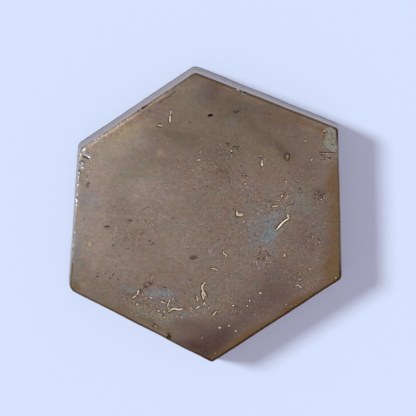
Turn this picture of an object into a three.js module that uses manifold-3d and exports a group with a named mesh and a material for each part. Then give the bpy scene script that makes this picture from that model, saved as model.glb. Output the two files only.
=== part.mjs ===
// A flat hexagonal slab of pyrite, cut and polished as a loose display stone.
//
// The stone is one solid: a slightly irregular hand-cut hexagon with rounded corners, a flat polished
// face on top, a flat lapped back that it rests on, and sides that flare a little towards the back.
// Both rims have a narrow bevel. Chips are broken out of the rims, and small angular pits, left by
// grains that fell out, sink into the face and the back.
//
// Frame: millimetres, +Z up, origin at the middle of the back, +Y towards the top corner.

import * as THREE from "three";
import { mergeVertices } from "three/addons/utils/BufferGeometryUtils.js";
import Module from "manifold-3d";

// Driving dimensions.
const THICKNESS = 5.5;
const FACE_BEVEL = 0.22; // width and height of the bevel round the polished face
const BACK_BEVEL = 0.4; // width and height of the bevel round the back
const ARC_STEPS = 5; // flat facets on each rounded corner

// The six corners of the polished face, clockwise from the top: where the sides would meet, the radius
// that rounds the corner, and how far the foot of the sides stands out beyond the face there.
const CORNERS = [
  { name: "top", x: -1.5, y: 21.65, radius: 1.1, flare: 0.62 },
  { name: "upper right", x: 19.55, y: 13.45, radius: 0.8, flare: 0.33 },
  { name: "lower right", x: 20.25, y: -9, radius: 0.8, flare: 0.45 },
  { name: "bottom", x: 1.05, y: -21.7, radius: 0.7, flare: 0.5 },
  { name: "lower left", x: -20.2, y: -10.6, radius: 1.5, flare: 0.5 },
  { name: "upper left", x: -18.35, y: 10.3, radius: 1.2, flare: 0.64 },
];

// Chips broken out of the rims: middle of the bite, its half size along its heading, across it and down,
// and the heading in degrees. "face" bites sit on the upper rim and "back" bites on the lower one.
const CHIPS = [
  { rim: "face", x: -17.9, y: 10.3, along: 0.5, across: 0.32, down: 0.35, heading: 35 },
  { rim: "face", x: -17.6, y: 9.5, along: 0.9, across: 0.38, down: 0.4, heading: -33 },
  { rim: "face", x: -18.2, y: 8.3, along: 0.4, across: 0.25, down: 0.35, heading: -50 },
  { rim: "face", x: -18.3, y: 7.6, along: 0.4, across: 0.32, down: 0.5, heading: 20 },
  { rim: "face", x: -18.6, y: 6.9, along: 0.55, across: 0.22, down: 0.3, heading: 84 },
  { rim: "face", x: -19.0, y: 2.9, along: 0.5, across: 0.25, down: 0.3, heading: 84 },
  { rim: "face", x: -16.1, y: 11.75, along: 0.7, across: 0.25, down: 0.25, heading: 34 },
  { rim: "face", x: -14.5, y: 12.85, along: 0.6, across: 0.2, down: 0.22, heading: 34 },
  { rim: "face", x: -9.0, y: 16.55, along: 0.4, across: 0.24, down: 0.3, heading: 34 },
  { rim: "face", x: 4.7, y: 19.15, along: 0.35, across: 0.22, down: 0.3, heading: -21 },
  { rim: "face", x: 5.6, y: 18.55, along: 0.45, across: 0.4, down: 0.45, heading: 40 },
  { rim: "face", x: 19.55, y: 12.2, along: 0.4, across: 0.2, down: 0.25, heading: -88 },
  { rim: "face", x: -5.4, y: -17.9, along: 0.5, across: 0.35, down: 0.4, heading: 60 },
  { rim: "face", x: -0.9, y: -20.6, along: 0.6, across: 0.28, down: 0.3, heading: -28 },
  { rim: "back", x: -14.2, y: -14.3, along: 1.1, across: 0.6, down: 0.5, heading: -28 },
  { rim: "back", x: 20.5, y: 3.2, along: 1.3, across: 0.5, down: 0.45, heading: -88 },
  { rim: "back", x: 9.9, y: 17.7, along: 0.9, across: 0.5, down: 0.4, heading: -21 },
];

// Pits left by grains that fell out: middle, plan size, depth, and heading in degrees.
const PITS = [
  { side: "face", x: 0.8, y: 15.35, length: 0.8, width: 0.45, depth: 0.5, heading: 10 },
  { side: "face", x: 12.1, y: 9.15, length: 1.0, width: 0.6, depth: 0.3, heading: 75 },
  { side: "face", x: -17.3, y: 5.15, length: 0.9, width: 0.35, depth: 0.3, heading: 70 },
  { side: "face", x: -14.5, y: -1.15, length: 0.9, width: 0.3, depth: 0.3, heading: 0 },
  { side: "face", x: -13.6, y: -8.45, length: 0.8, width: 0.3, depth: 0.25, heading: 55 },
  { side: "face", x: -1.7, y: -5.85, length: 1.1, width: 0.5, depth: 0.18, heading: 5 },
  { side: "face", x: -9.4, y: -10.45, length: 0.9, width: 0.35, depth: 0.22, heading: 50 },
  { side: "face", x: -6.6, y: 14.05, length: 0.7, width: 0.35, depth: 0.2, heading: 15 },
  { side: "face", x: 4.9, y: 16.15, length: 0.8, width: 0.45, depth: 0.18, heading: 30 },
  { side: "back", x: 6.5, y: 7.2, length: 1.6, width: 0.9, depth: 0.5, heading: 25 },
  { side: "back", x: -8.3, y: -5.1, length: 1.2, width: 0.8, depth: 0.4, heading: -35 },
  { side: "back", x: 11.4, y: -8.9, length: 0.9, width: 0.6, depth: 0.35, heading: 70 },
  { side: "back", x: -12.6, y: 6.4, length: 1.0, width: 0.5, depth: 0.3, heading: 12 },
];

const material = new THREE.MeshStandardMaterial({
  name: "polished_pyrite",
  color: new THREE.Color(0.5, 0.4, 0.32),
  metalness: 1.0,
  roughness: 0.35,
});

// The plan outline at one level: each corner moved out along its bisector until both its sides have
// moved out by outset(corner), then rounded by an arc. Every level has the same number of points.
function outlineAt(outset) {
  const moved = CORNERS.map((corner, i) => {
    const here = new THREE.Vector2(corner.x, corner.y);
    const before = CORNERS[(i + CORNERS.length - 1) % CORNERS.length];
    const after = CORNERS[(i + 1) % CORNERS.length];
    const toBefore = new THREE.Vector2(before.x, before.y).sub(here).normalize();
    const toAfter = new THREE.Vector2(after.x, after.y).sub(here).normalize();
    const inward = toBefore.clone().add(toAfter).normalize();
    const halfAngle = Math.acos(THREE.MathUtils.clamp(toBefore.dot(inward), -1, 1));
    return here.addScaledVector(inward, -outset(corner) / Math.sin(halfAngle));
  });
  return moved.flatMap((corner, i) => {
    const before = moved[(i + moved.length - 1) % moved.length];
    const after = moved[(i + 1) % moved.length];
    return roundedCorner(before, corner, after, CORNERS[i].radius);
  });
}

// The points of the arc that rounds one corner, from the side before it to the side after it.
function roundedCorner(before, corner, after, radius) {
  const toBefore = before.clone().sub(corner).normalize();
  const toAfter = after.clone().sub(corner).normalize();
  const inward = toBefore.clone().add(toAfter).normalize();
  const halfAngle = Math.acos(toBefore.dot(inward));
  const centre = corner.clone().addScaledVector(inward, radius / Math.sin(halfAngle));
  const start = corner.clone().addScaledVector(toBefore, radius / Math.tan(halfAngle)).sub(centre);
  const turn = Math.PI - 2 * halfAngle;
  return Array.from({ length: ARC_STEPS + 1 }, (_, step) =>
    start.clone().rotateAround(new THREE.Vector2(), (-turn * step) / ARC_STEPS).add(centre),
  );
}

// Joins outlines that lie one above the other into a closed geometry: walls between neighbours and a
// flat cap on each end.
function loft(levels) {
  const count = levels[0].points.length;
  const positions = levels.flatMap(({ z, points }) => points.flatMap((p) => [p.x, p.y, z]));
  const indices = [];
  for (let level = 0; level + 1 < levels.length; level++) {
    for (let i = 0; i < count; i++) {
      const next = (i + 1) % count;
      const low = level * count;
      const high = low + count;
      indices.push(low + i, high + i, low + next);
      indices.push(low + next, high + i, high + next);
    }
  }
  const top = (levels.length - 1) * count;
  for (const [a, b, c] of THREE.ShapeUtils.triangulateShape(levels.at(-1).points, [])) {
    indices.push(...upward(levels.at(-1).points, a, b, c).map((i) => i + top));
  }
  for (const [a, b, c] of THREE.ShapeUtils.triangulateShape(levels[0].points, [])) {
    indices.push(...upward(levels[0].points, a, b, c).reverse());
  }
  const geometry = new THREE.BufferGeometry();
  geometry.setAttribute("position", new THREE.Float32BufferAttribute(positions, 3));
  return geometry.setIndex(indices);
}

// A triangle of a cap, ordered so that it faces up.
function upward(points, a, b, c) {
  const ab = points[b].clone().sub(points[a]);
  const ac = points[c].clone().sub(points[a]);
  return ab.cross(ac) > 0 ? [a, b, c] : [a, c, b];
}

// The whole slab before it is chipped: back bevel, flared sides, face bevel.
function slabGeometry() {
  const flared = (share) => (corner) => corner.flare * share;
  const sideHeight = THICKNESS - BACK_BEVEL;
  const faceShare = FACE_BEVEL / sideHeight;
  return loft([
    { z: 0, points: outlineAt((corner) => corner.flare - BACK_BEVEL) },
    { z: BACK_BEVEL, points: outlineAt(flared(1)) },
    { z: THICKNESS - FACE_BEVEL, points: outlineAt(flared(faceShare)) },
    { z: THICKNESS, points: outlineAt(() => -FACE_BEVEL) },
  ]);
}

// The tool for one chip: a faceted ellipsoid over the rim, tumbled by its place so that no two match.
function biteGeometry({ rim, x, y, along, across, down, heading }) {
  return new THREE.IcosahedronGeometry(1, 1)
    .rotateX(x + y)
    .scale(along, across, down)
    .rotateZ(THREE.MathUtils.degToRad(heading))
    .translate(x, y, rim === "face" ? THICKNESS : 0);
}

// The mould of a lost grain: a four-sided crystal point, driven into the surface up to its waist.
function pitGeometry({ side, x, y, length, width, depth, heading }) {
  return new THREE.OctahedronGeometry(1, 0)
    .rotateZ(Math.PI / 4)
    .scale(length * Math.SQRT1_2, width * Math.SQRT1_2, depth)
    .rotateZ(THREE.MathUtils.degToRad(heading))
    .translate(x, y, side === "face" ? THICKNESS : 0);
}

const wasm = await Module();
wasm.setup();

// A closed three.js geometry as a manifold-3d solid.
function solidOf(geometry) {
  const bare = geometry.clone();
  bare.deleteAttribute("normal");
  bare.deleteAttribute("uv");
  const merged = mergeVertices(bare, 1e-4);
  return new wasm.Manifold(
    new wasm.Mesh({
      numProp: 3,
      vertProperties: merged.attributes.position.array,
      triVerts: new Uint32Array(merged.index.array),
    }),
  );
}

// A manifold-3d solid as a three.js geometry.
function geometryOf(solid) {
  const mesh = solid.getMesh();
  const geometry = new THREE.BufferGeometry();
  geometry.setAttribute("position", new THREE.BufferAttribute(mesh.vertProperties, 3));
  geometry.setIndex(new THREE.BufferAttribute(mesh.triVerts, 1));
  geometry.computeVertexNormals();
  return geometry;
}

const cutters = [...CHIPS.map(biteGeometry), ...PITS.map(pitGeometry)];
const chipped = cutters.reduce(
  (solid, cutter) => solid.subtract(solidOf(cutter)),
  solidOf(slabGeometry()),
);

const slab = new THREE.Mesh(geometryOf(chipped), material);
slab.name = "pyrite_slab";

const stone = new THREE.Group();
stone.add(slab);

export default stone;
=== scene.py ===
"""A flat slab of pyrite, cut to a hexagon and polished, lying on a pale tabletop.

The stone is one piece. Its shape is worked out in millimetres: +Z out of the polished face, +Y towards
the top corner, and the origin at the middle of the back.
"""

import math

import bmesh
import bpy
import numpy as np
from mathutils import Matrix, Vector
from mathutils.geometry import delaunay_2d_cdt
from mathutils.kdtree import KDTree


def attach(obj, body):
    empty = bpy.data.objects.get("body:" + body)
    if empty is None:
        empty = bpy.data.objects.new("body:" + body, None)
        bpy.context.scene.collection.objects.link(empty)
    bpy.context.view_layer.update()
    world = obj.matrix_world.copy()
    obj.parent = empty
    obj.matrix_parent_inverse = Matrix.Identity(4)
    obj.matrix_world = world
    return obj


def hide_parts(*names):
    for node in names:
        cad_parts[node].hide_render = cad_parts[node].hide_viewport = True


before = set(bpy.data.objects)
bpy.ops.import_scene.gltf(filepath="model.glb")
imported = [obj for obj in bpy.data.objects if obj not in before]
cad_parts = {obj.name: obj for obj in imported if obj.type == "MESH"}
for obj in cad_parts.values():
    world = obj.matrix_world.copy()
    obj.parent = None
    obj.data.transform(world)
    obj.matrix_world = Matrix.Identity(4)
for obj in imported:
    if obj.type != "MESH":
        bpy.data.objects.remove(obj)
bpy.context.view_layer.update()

# ---------------------------------------------------------------------------------------------------
# The sides of the slab. A sawn plate of solid pyrite, ground by hand to a hexagon on a flat lap: the
# corners are rounded, the sides lean out a little towards the back, and both rims are taken off.

THICKNESS = 5.5
FACE_BEVEL = 0.22  # width and height of the rounded rim of the polished face
BACK_BEVEL = 0.4  # width and height of the bevel round the back
BEVEL_ROUND = 0.03  # how far the middle of that bevel is rounded out

# x, y, radius of the corner, and how far the foot of the sides stands out beyond the face there.
CORNERS = (
    (-1.5, 21.65, 1.1, 0.62),
    (19.55, 13.45, 0.8, 0.33),
    (20.25, -9.0, 0.8, 0.45),
    (1.05, -21.7, 0.7, 0.5),
    (-20.2, -10.6, 1.5, 0.5),
    (-18.35, 10.3, 1.2, 0.64),
)
ARC_STEPS = 14  # short facets on each rounded corner
SIDE_STEPS = 120  # points along each straight side, about 0.2 mm apart
WALL_STEPS = 12  # rings up the sides
RIM_STEPS = 6  # rings over the rim of the face
BEVEL_STEPS = 3  # rings up the bevel of the back
BULGE = 0.05  # the lap leaves the sides very slightly round
HAND = 0.03  # and never quite straight
HAND_UPRIGHT = 0.4  # what the hand leaves runs up the sides, so height counts for less than length
NICKS = 150  # small bites along the rim of the face
NICK_WIDTHS = (0.08, 0.3)
NICK_DEPTHS = (0.02, 0.09)
NICK_DROP = 0.6  # how far a nick also lowers the rim, as a share of its depth


def unit(vector):
    return vector / np.linalg.norm(vector)


def corner_frame(before, here, after):
    """The directions from a corner to its neighbours and inwards, and half the angle between them."""
    to_before = unit(before - here)
    to_after = unit(after - here)
    inward = unit(to_before + to_after)
    return to_before, to_after, inward, math.acos(to_before @ inward)


def outline(outset):
    """The plan of the slab, clockwise from the top. outset(flare) is how far it stands out at a corner."""
    places = [np.array(corner[:2]) for corner in CORNERS]
    count = len(places)
    moved = []
    for i, (_, _, _, flare) in enumerate(CORNERS):
        _, _, inward, half = corner_frame(places[i - 1], places[i], places[(i + 1) % count])
        moved.append(places[i] - inward * outset(flare) / math.sin(half))
    arcs = []
    for i, (_, _, radius, _) in enumerate(CORNERS):
        here = moved[i]
        to_before, _, inward, half = corner_frame(moved[i - 1], here, moved[(i + 1) % count])
        centre = here + inward * radius / math.sin(half)
        start = here + to_before * radius / math.tan(half) - centre
        angles = -(math.pi - 2 * half) * np.arange(ARC_STEPS + 1) / ARC_STEPS
        swung = np.stack(
            (start[0] * np.cos(angles) - start[1] * np.sin(angles),
             start[0] * np.sin(angles) + start[1] * np.cos(angles)), axis=1)
        arcs.append(centre + swung)
    rows = []
    for i, arc in enumerate(arcs):
        share = np.arange(1, SIDE_STEPS)[:, None] / SIDE_STEPS
        rows += [arc, arc[-1] + (arcs[(i + 1) % count][0] - arc[-1]) * share]
    return np.concatenate(rows)


def waves(points, length, seed, count=9):
    """A smooth random field over points of any dimension, about -1 to 1, with swells of that length."""
    draw = np.random.default_rng(seed)
    heading = draw.normal(size=(count, points.shape[1]))
    heading /= np.linalg.norm(heading, axis=1)[:, None]
    pitch = 2 * math.pi / (length * draw.uniform(0.6, 1.6, count))
    phase = draw.uniform(0, 2 * math.pi, count)
    return np.cos(points @ (heading * pitch[:, None]).T + phase).sum(1) / math.sqrt(count)


def rim_nicks(ring, seed):
    """How deeply the rim is nicked at each point of a ring: small bites at random places."""
    draw = np.random.default_rng(seed)
    depth = np.zeros(len(ring))
    for middle in ring[draw.integers(0, len(ring), NICKS)]:
        width = draw.uniform(*NICK_WIDTHS)
        bite = draw.uniform(*NICK_DEPTHS)
        gap = np.linalg.norm(ring - middle, axis=1)
        depth = np.maximum(depth, bite * np.clip(1 - (gap / width) ** 2, 0, 1))
    return depth


def side_levels():
    """The rings that the sides are made of, from the back to the face, as points in space."""
    side_height = THICKNESS - BACK_BEVEL
    levels = []
    for step in range(BEVEL_STEPS):
        share = step / BEVEL_STEPS
        height = BACK_BEVEL * share
        round_off = BEVEL_ROUND * math.sin(math.pi * share)
        levels.append((height, lambda flare, s=share, r=round_off: flare - BACK_BEVEL * (1 - s) + r, 0))
    for step in range(WALL_STEPS):
        share = step / WALL_STEPS
        height = BACK_BEVEL + (side_height - FACE_BEVEL) * share
        lean = (THICKNESS - height) / side_height
        bulge = BULGE * math.sin(math.pi * share)
        levels.append((height, lambda flare, k=lean, b=bulge: flare * k + b, 0))
    for step in range(RIM_STEPS + 1):
        angle = 0.5 * math.pi * step / RIM_STEPS
        height = THICKNESS - FACE_BEVEL * (1 - math.sin(angle))
        lean = FACE_BEVEL / side_height
        inset = 1 - math.cos(angle)
        nicked = math.sin(2 * angle) ** 0.5 if 0 < step < RIM_STEPS else 0
        levels.append(
            (height, lambda flare, k=lean, i=inset: flare * k * (1 - i) - FACE_BEVEL * i, nicked))
    rings = []
    for height, outset, nicked in levels:
        ring = outline(outset)
        travel = np.roll(ring, -1, axis=0) - np.roll(ring, 1, axis=0)
        outward = np.stack((-travel[:, 1], travel[:, 0]), axis=1)
        outward /= np.linalg.norm(outward, axis=1)[:, None]
        level = np.concatenate((ring, np.full((len(ring), 1), height * HAND_UPRIGHT)), axis=1)
        wobble = HAND * waves(level, length=7, seed=11) + 0.3 * HAND * waves(level, length=1.6, seed=12)
        bite = nicked * rim_nicks(ring, seed=13)
        ring = ring + outward * (wobble - bite)[:, None]
        rings.append(np.concatenate((ring, (height - NICK_DROP * bite)[:, None]), axis=1))
    return rings


# ---------------------------------------------------------------------------------------------------
# What shows in the polished face: pale threads and grains of softer mineral, polished a little lower
# than the pyrite, and dark angular holes where grains of it fell out on the lap.

GRAIN_DEPTH = 0.03
GRAIN_FLOOR = 0.6  # size of a grain's sunken middle, as a share of the grain
THREAD_DEPTH = 0.03
CRACK_DEPTH = 0.05
HOLE_FLOOR = 0.7  # size of a hole's floor, as a share of its mouth
HOLE_SLOPE = 0.75  # depth at the edge of that floor, as a share of the depth at its middle
PATH_SPACING = 0.14  # how far apart the points along a thread are

# Pale threads: width, strength, warmth (0 white to 1 golden), and the points that they run through.
THREADS = (
    (0.19, 1.3, 0.3, ((10.55, -1.6), (10.95, -1.2), (11.4, -0.65), (11.75, -0.35), (12.15, -0.1),
                      (12.4, 0.05))),
    (0.27, 0.8, 0.4, ((12.38, 0.0), (12.27, 0.35), (12.2, 0.75))),
    (0.24, 0.9, 0.5, ((4.72, 1.35), (4.75, 0.6), (5.1, 0.5), (5.5, 0.55), (5.62, 0.95))),
    (0.26, 1.0, 0.5, ((-0.05, -9.6), (-0.4, -10.05), (-0.4, -10.55), (-0.25, -11.0), (-0.05, -11.3),
                      (0.15, -11.7))),
    (0.2, 1.0, 0.5, ((-0.4, -10.9), (-0.4, -11.4), (-0.28, -11.8), (-0.2, -12.2))),
    (0.22, 0.9, 0.5, ((-0.05, -12.5), (-0.2, -13.05))),
    (0.22, 0.9, 0.6, ((-1.3, -11.5), (-1.15, -11.9), (-1.05, -12.5))),
    (0.22, 0.9, 0.3, ((-1.25, -13.45), (-1.0, -13.25), (-0.7, -13.15))),
    (0.25, 1.0, 0.5, ((-5.45, -14.0), (-4.95, -13.65), (-4.55, -13.5), (-4.0, -13.65), (-3.55, -13.6),
                      (-3.1, -13.5))),
    (0.15, 0.8, 0.1, ((-5.6, -13.2), (-5.35, -12.45), (-5.2, -12.1))),
    (0.2, 0.9, 0.3, ((-6.65, -12.4), (-6.3, -12.55), (-5.85, -12.7))),
    (0.16, 0.9, 0.3, ((-10.2, -13.1), (-10.2, -12.85), (-9.95, -12.8), (-9.8, -12.95))),
    (0.2, 0.9, 0.4, ((-10.8, -11.9), (-10.5, -11.7), (-10.2, -11.5))),
    (0.24, 1.0, 0.1, ((-10.05, -11.4), (-9.95, -11.0), (-9.8, -10.7))),
    (0.2, 0.8, 0.4, ((-8.35, -11.7), (-7.8, -11.95))),
    (0.15, 0.6, 0.4, ((-7.6, -16.2), (-7.1, -16.35))),
    (0.14, 0.5, 0.5, ((-5.25, -17.65), (-5.0, -17.45))),
    (0.17, 0.8, 0.6, ((1.75, -13.8), (1.1, -14.65))),
    (0.12, 0.6, 0.3, ((14.1, -8.0), (14.05, -8.5))),
    (0.13, 0.7, 0.4, ((13.75, -9.25), (14.15, -9.0), (14.5, -9.1))),
    (0.17, 0.8, 0.4, ((13.3, -10.15), (13.8, -9.95), (14.1, -10.2), (14.65, -10.5))),
    (0.14, 0.7, 0.1, ((-4.95, 16.15), (-5.08, 15.4))),
    (0.21, 0.9, 0.0, ((-5.08, 15.4), (-5.15, 14.8), (-5.12, 14.2))),
    (0.18, 0.95, 0.4, ((2.7, -4.8), (2.75, -5.2), (3.1, -5.4), (3.05, -5.75))),
    (0.17, 0.95, 0.5, ((0.8, -7.45), (1.35, -7.5), (2.0, -7.75))),
    (0.1, 0.5, 0.3, ((-1.3, -7.25), (-0.75, -7.28))),
    (0.13, 0.7, 0.3, ((7.8, 9.3), (8.55, 9.4))),
    (0.12, 0.4, 0.3, ((5.2, -9.15), (5.7, -9.35))),
    (0.1, 0.6, 0.9, ((12.6, -0.35), (13.1, -0.4), (13.55, -0.55))),
    (0.17, 1.0, 0.2, ((11.15, 3.2), (11.5, 3.55))),
    (0.17, 0.9, 0.3, ((9.75, 1.8), (10.2, 1.85), (10.85, 1.97))),
    (0.12, 0.6, 0.3, ((11.95, 1.45), (12.35, 1.8), (12.9, 1.95))),
    (0.1, 0.6, 0.3, ((16.9, 9.68), (19.0, 9.68))),
    (0.1, 0.4, 0.3, ((17.1, 9.35), (18.8, 9.3))),
    (0.09, 0.35, 0.6, ((-9.2, 1.35), (-8.1, 1.65))),
    (0.09, 0.35, 0.3, ((-9.8, -1.5), (-9.2, -1.45))),
    (0.12, 0.4, 0.3, ((-7.45, -1.1), (-7.4, -1.5))),
    (0.12, 0.35, 0.3, ((-8.75, -1.8), (-8.25, -1.7))),
)

# Pale grains: x, y, length, width, heading, strength, warmth.
GRAINS = (
    (9.07, 1.7, 0.14, 0.3, 0, 0.9, 0.1), (10.35, -1.7, 0.2, 0.2, 0, 1.0, 0.0),
    (5.15, 0.7, 0.75, 0.35, 0, 0.6, 0.9), (5.7, -0.45, 0.5, 0.19, 45, 0.8, 0.3),
    (6.38, -1.62, 0.16, 0.36, 25, 0.7, 0.3), (13.15, -0.42, 0.2, 0.12, 0, 0.7, 0.3),
    (13.95, 4.1, 0.35, 0.14, 25, 0.5, 0.1), (15.9, -2.65, 0.14, 0.42, 5, 0.8, 0.0),
    (16.95, -3.55, 0.15, 0.35, -15, 0.7, 0.3), (16.05, -0.95, 0.3, 0.15, 0, 0.5, 0.3),
    (17.15, 2.9, 0.2, 0.3, 0, 0.8, 0.1), (16.5, 3.35, 0.35, 0.12, 10, 0.6, 0.1),
    (16.4, 3.9, 0.25, 0.15, 0, 0.5, 0.1), (11.75, -5.45, 0.38, 0.55, 0, 0.8, 0.8),
    (14.05, -7.9, 0.2, 0.2, 0, 0.7, 0.3), (-6.1, -13.98, 0.4, 0.24, 30, 0.9, 0.5),
    (-6.9, -13.85, 0.5, 0.25, -12, 0.9, 0.7), (-7.2, -13.1, 0.22, 0.2, 0, 0.7, 0.1),
    (-6.9, -13.4, 0.2, 0.18, 0, 0.6, 0.1), (-5.4, -13.5, 0.5, 0.22, 20, 0.7, 1.0),
    (-5.58, -13.15, 0.22, 0.22, 0, 1.0, 0.1), (-7.75, -14.95, 0.28, 0.22, 0, 0.7, 0.3),
    (-6.1, -14.85, 0.27, 0.3, 0, 0.8, 0.3), (-3.45, -14.8, 0.38, 0.34, 0, 0.45, 0.1),
    (-10.0, -13.1, 0.25, 0.3, 0, 0.4, 1.0), (-11.0, -14.05, 0.25, 0.25, 0, 0.6, 0.8),
    (-6.75, -16.5, 0.17, 0.17, 0, 0.6, 0.3), (-1.25, -13.45, 0.28, 0.26, 0, 0.9, 0.1),
    (-0.1, -11.5, 0.3, 0.3, 20, 0.6, 0.8), (-0.06, -9.62, 0.3, 0.3, 0, 0.9, 0.3),
    (0.25, -12.95, 0.2, 0.2, 0, 0.4, 0.2), (-8.6, -9.75, 0.25, 0.2, 0, 0.5, 0.1),
    (-9.3, -11.4, 0.4, 0.25, 0, 0.35, 0.0), (1.0, -11.0, 0.2, 0.3, 0, 0.3, 0.1),
    (2.2, -14.0, 0.38, 0.25, 0, 0.6, 0.8), (2.4, -12.35, 0.4, 0.2, -50, 0.6, 0.6),
    (3.95, -11.95, 0.2, 0.2, 0, 1.0, 0.1), (4.15, -13.05, 0.36, 0.24, 0, 1.1, 0.0),
    (6.63, -12.27, 0.24, 0.24, 0, 1.0, 0.0), (6.27, -13.1, 0.26, 0.26, 0, 0.8, 0.0),
    (7.3, -12.5, 0.2, 0.18, 0, 0.6, 0.3), (7.9, -12.55, 0.24, 0.16, 0, 0.6, 0.2),
    (8.2, -11.15, 0.42, 0.4, 0, 0.55, 0.0), (2.2, -16.4, 0.48, 0.34, -20, 0.7, 0.2),
    (3.57, -16.1, 0.36, 0.3, 0, 0.6, 0.2), (4.58, -16.9, 0.45, 0.36, 0, 0.5, 0.2),
    (7.25, -14.4, 0.6, 0.14, 0, 0.35, 0.1), (12.05, -12.85, 0.35, 0.18, 30, 0.6, 0.5),
    (12.8, -13.15, 0.28, 0.2, 0, 0.5, 0.6), (13.5, -12.9, 0.28, 0.2, 0, 0.5, 0.6),
    (-0.45, -17.9, 0.2, 0.5, 0, 0.35, 0.5), (1.5, -20.3, 0.4, 0.18, 25, 0.45, 0.9),
    (16.0, -10.3, 0.2, 0.2, 0, 0.7, 0.4), (15.55, -7.5, 0.4, 0.3, 0, 0.4, 0.4),
    (15.9, -4.65, 0.18, 0.18, 0, 0.6, 0.4), (16.2, -3.95, 0.18, 0.18, 0, 0.6, 0.4),
    (9.7, -9.35, 0.18, 0.18, 0, 0.6, 0.3), (9.4, -9.75, 0.18, 0.18, 0, 0.6, 0.3),
    (9.1, -5.35, 0.18, 0.18, 0, 0.7, 0.2), (10.2, -4.95, 0.18, 0.18, 0, 0.6, 0.3),
    (8.3, -5.9, 0.2, 0.15, 0, 0.6, 0.1), (8.9, -6.5, 0.25, 0.15, 20, 0.5, 0.1),
    (7.8, -5.6, 0.18, 0.15, 0, 0.5, 0.1), (9.9, -6.2, 0.2, 0.15, 0, 0.5, 0.1),
    (-0.95, 8.75, 0.6, 0.28, 15, 0.8, 0.6), (-0.7, 9.9, 0.42, 0.18, 35, 0.6, 0.5),
    (3.88, 10.1, 0.3, 0.27, 0, 0.9, 0.2), (3.76, 5.2, 0.4, 0.2, 0, 0.6, 0.2),
    (2.3, 4.65, 0.28, 0.26, 0, 0.4, 0.4), (5.9, 5.18, 0.6, 0.2, 5, 0.85, 0.1),
    (5.75, 6.6, 0.24, 0.22, 0, 0.8, 0.1), (8.38, 8.1, 0.62, 0.4, 90, 0.9, 0.4),
    (8.4, 8.5, 0.5, 0.2, 88, 0.9, 0.4), (11.92, 5.54, 0.25, 0.25, 0, 1.0, 0.0),
    (15.65, 8.75, 0.24, 0.22, 0, 0.8, 0.1), (15.78, 9.0, 0.2, 0.2, 0, 0.6, 0.0),
    (14.75, 11.55, 0.45, 0.2, 45, 0.6, 0.4), (14.0, 4.15, 0.2, 0.2, 0, 0.5, 0.3),
    (13.6, 14.1, 0.12, 0.4, 0, 0.35, 0.3), (6.3, 16.45, 0.3, 0.16, -30, 0.4, 0.1),
    (6.6, 16.2, 0.2, 0.14, 0, 0.3, 0.1), (5.0, 16.25, 0.2, 0.14, 30, 0.5, 0.1),
    (12.12, 9.25, 0.36, 0.6, -10, 0.3, 1.0), (12.15, 9.5, 0.2, 0.18, 0, 0.5, 0.5),
    (17.57, 13.05, 0.35, 0.28, 0, 0.7, 0.3), (17.3, 12.5, 0.2, 0.2, 0, 0.6, 0.4),
    (18.2, 12.9, 0.2, 0.3, 0, 0.4, 0.0), (18.9, 12.3, 0.25, 0.2, 0, 0.35, 0.0),
    (18.3, 10.3, 0.3, 0.2, 0, 0.35, 0.0), (-17.1, -3.75, 0.65, 0.85, 20, 0.4, 0.9),
    (-17.5, -2.8, 0.18, 0.42, 15, 0.45, 0.5), (-14.6, -2.85, 0.3, 0.26, 0, 0.45, 0.1),
    (-2.55, -4.15, 0.18, 0.4, 0, 0.8, 0.2), (-2.7, -2.25, 0.28, 0.24, 0, 0.5, 0.1),
    (1.5, -3.45, 0.2, 0.2, 0, 0.6, 0.0), (1.5, -4.35, 0.2, 0.2, 0, 0.6, 0.0),
    (1.0, -1.8, 0.18, 0.18, 0, 0.7, 0.1), (4.4, -1.45, 0.26, 0.26, 0, 0.35, 0.3),
    (-4.5, -5.65, 0.28, 0.24, 0, 0.35, 0.4), (-15.9, -8.5, 0.2, 0.2, 0, 0.5, 0.0),
    (-15.87, -7.75, 0.15, 0.35, 0, 0.4, 0.1), (-12.75, -9.2, 0.25, 0.15, 0, 0.45, 0.5),
    (-6.6, 13.85, 0.9, 0.25, -10, 0.6, 0.0), (-7.7, 14.5, 0.28, 0.2, 0, 0.35, 0.3),
    (-7.1, 4.75, 0.4, 0.3, 0, 0.35, 0.1), (-6.0, 5.1, 0.8, 0.18, 0, 0.35, 0.2),
    (-4.0, 7.7, 0.24, 0.22, 0, 0.55, 0.4), (-2.6, 6.9, 0.3, 0.26, 0, 0.35, 0.8),
    (-9.2, 3.75, 0.3, 0.24, 0, 0.45, 0.3), (-17.25, 4.85, 0.25, 0.14, 65, 0.7, 0.0),
    (-11.2, -0.5, 0.4, 0.12, -5, 0.5, 0.8), (-13.55, -5.55, 0.4, 0.15, 0, 0.35, 1.0),
    (-14.3, -5.55, 0.3, 0.12, 0, 0.3, 1.0), (-14.4, -1.42, 0.7, 0.12, 0, 0.4, 0.4),
    (19.4, -8.85, 0.28, 0.2, 0, 0.8, 0.6), (-17.45, 10.65, 0.35, 0.2, 35, 0.8, 0.2),
    (-18.05, 10.45, 0.2, 0.2, 0, 1.1, 0.0), (5.3, 18.35, 0.25, 0.14, 30, 0.7, 0.1),
    (6.05, 18.6, 0.2, 0.12, -20, 0.6, 0.1), (-17.0, 11.1, 0.4, 0.2, 34, 0.6, 0.3),
)

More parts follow.
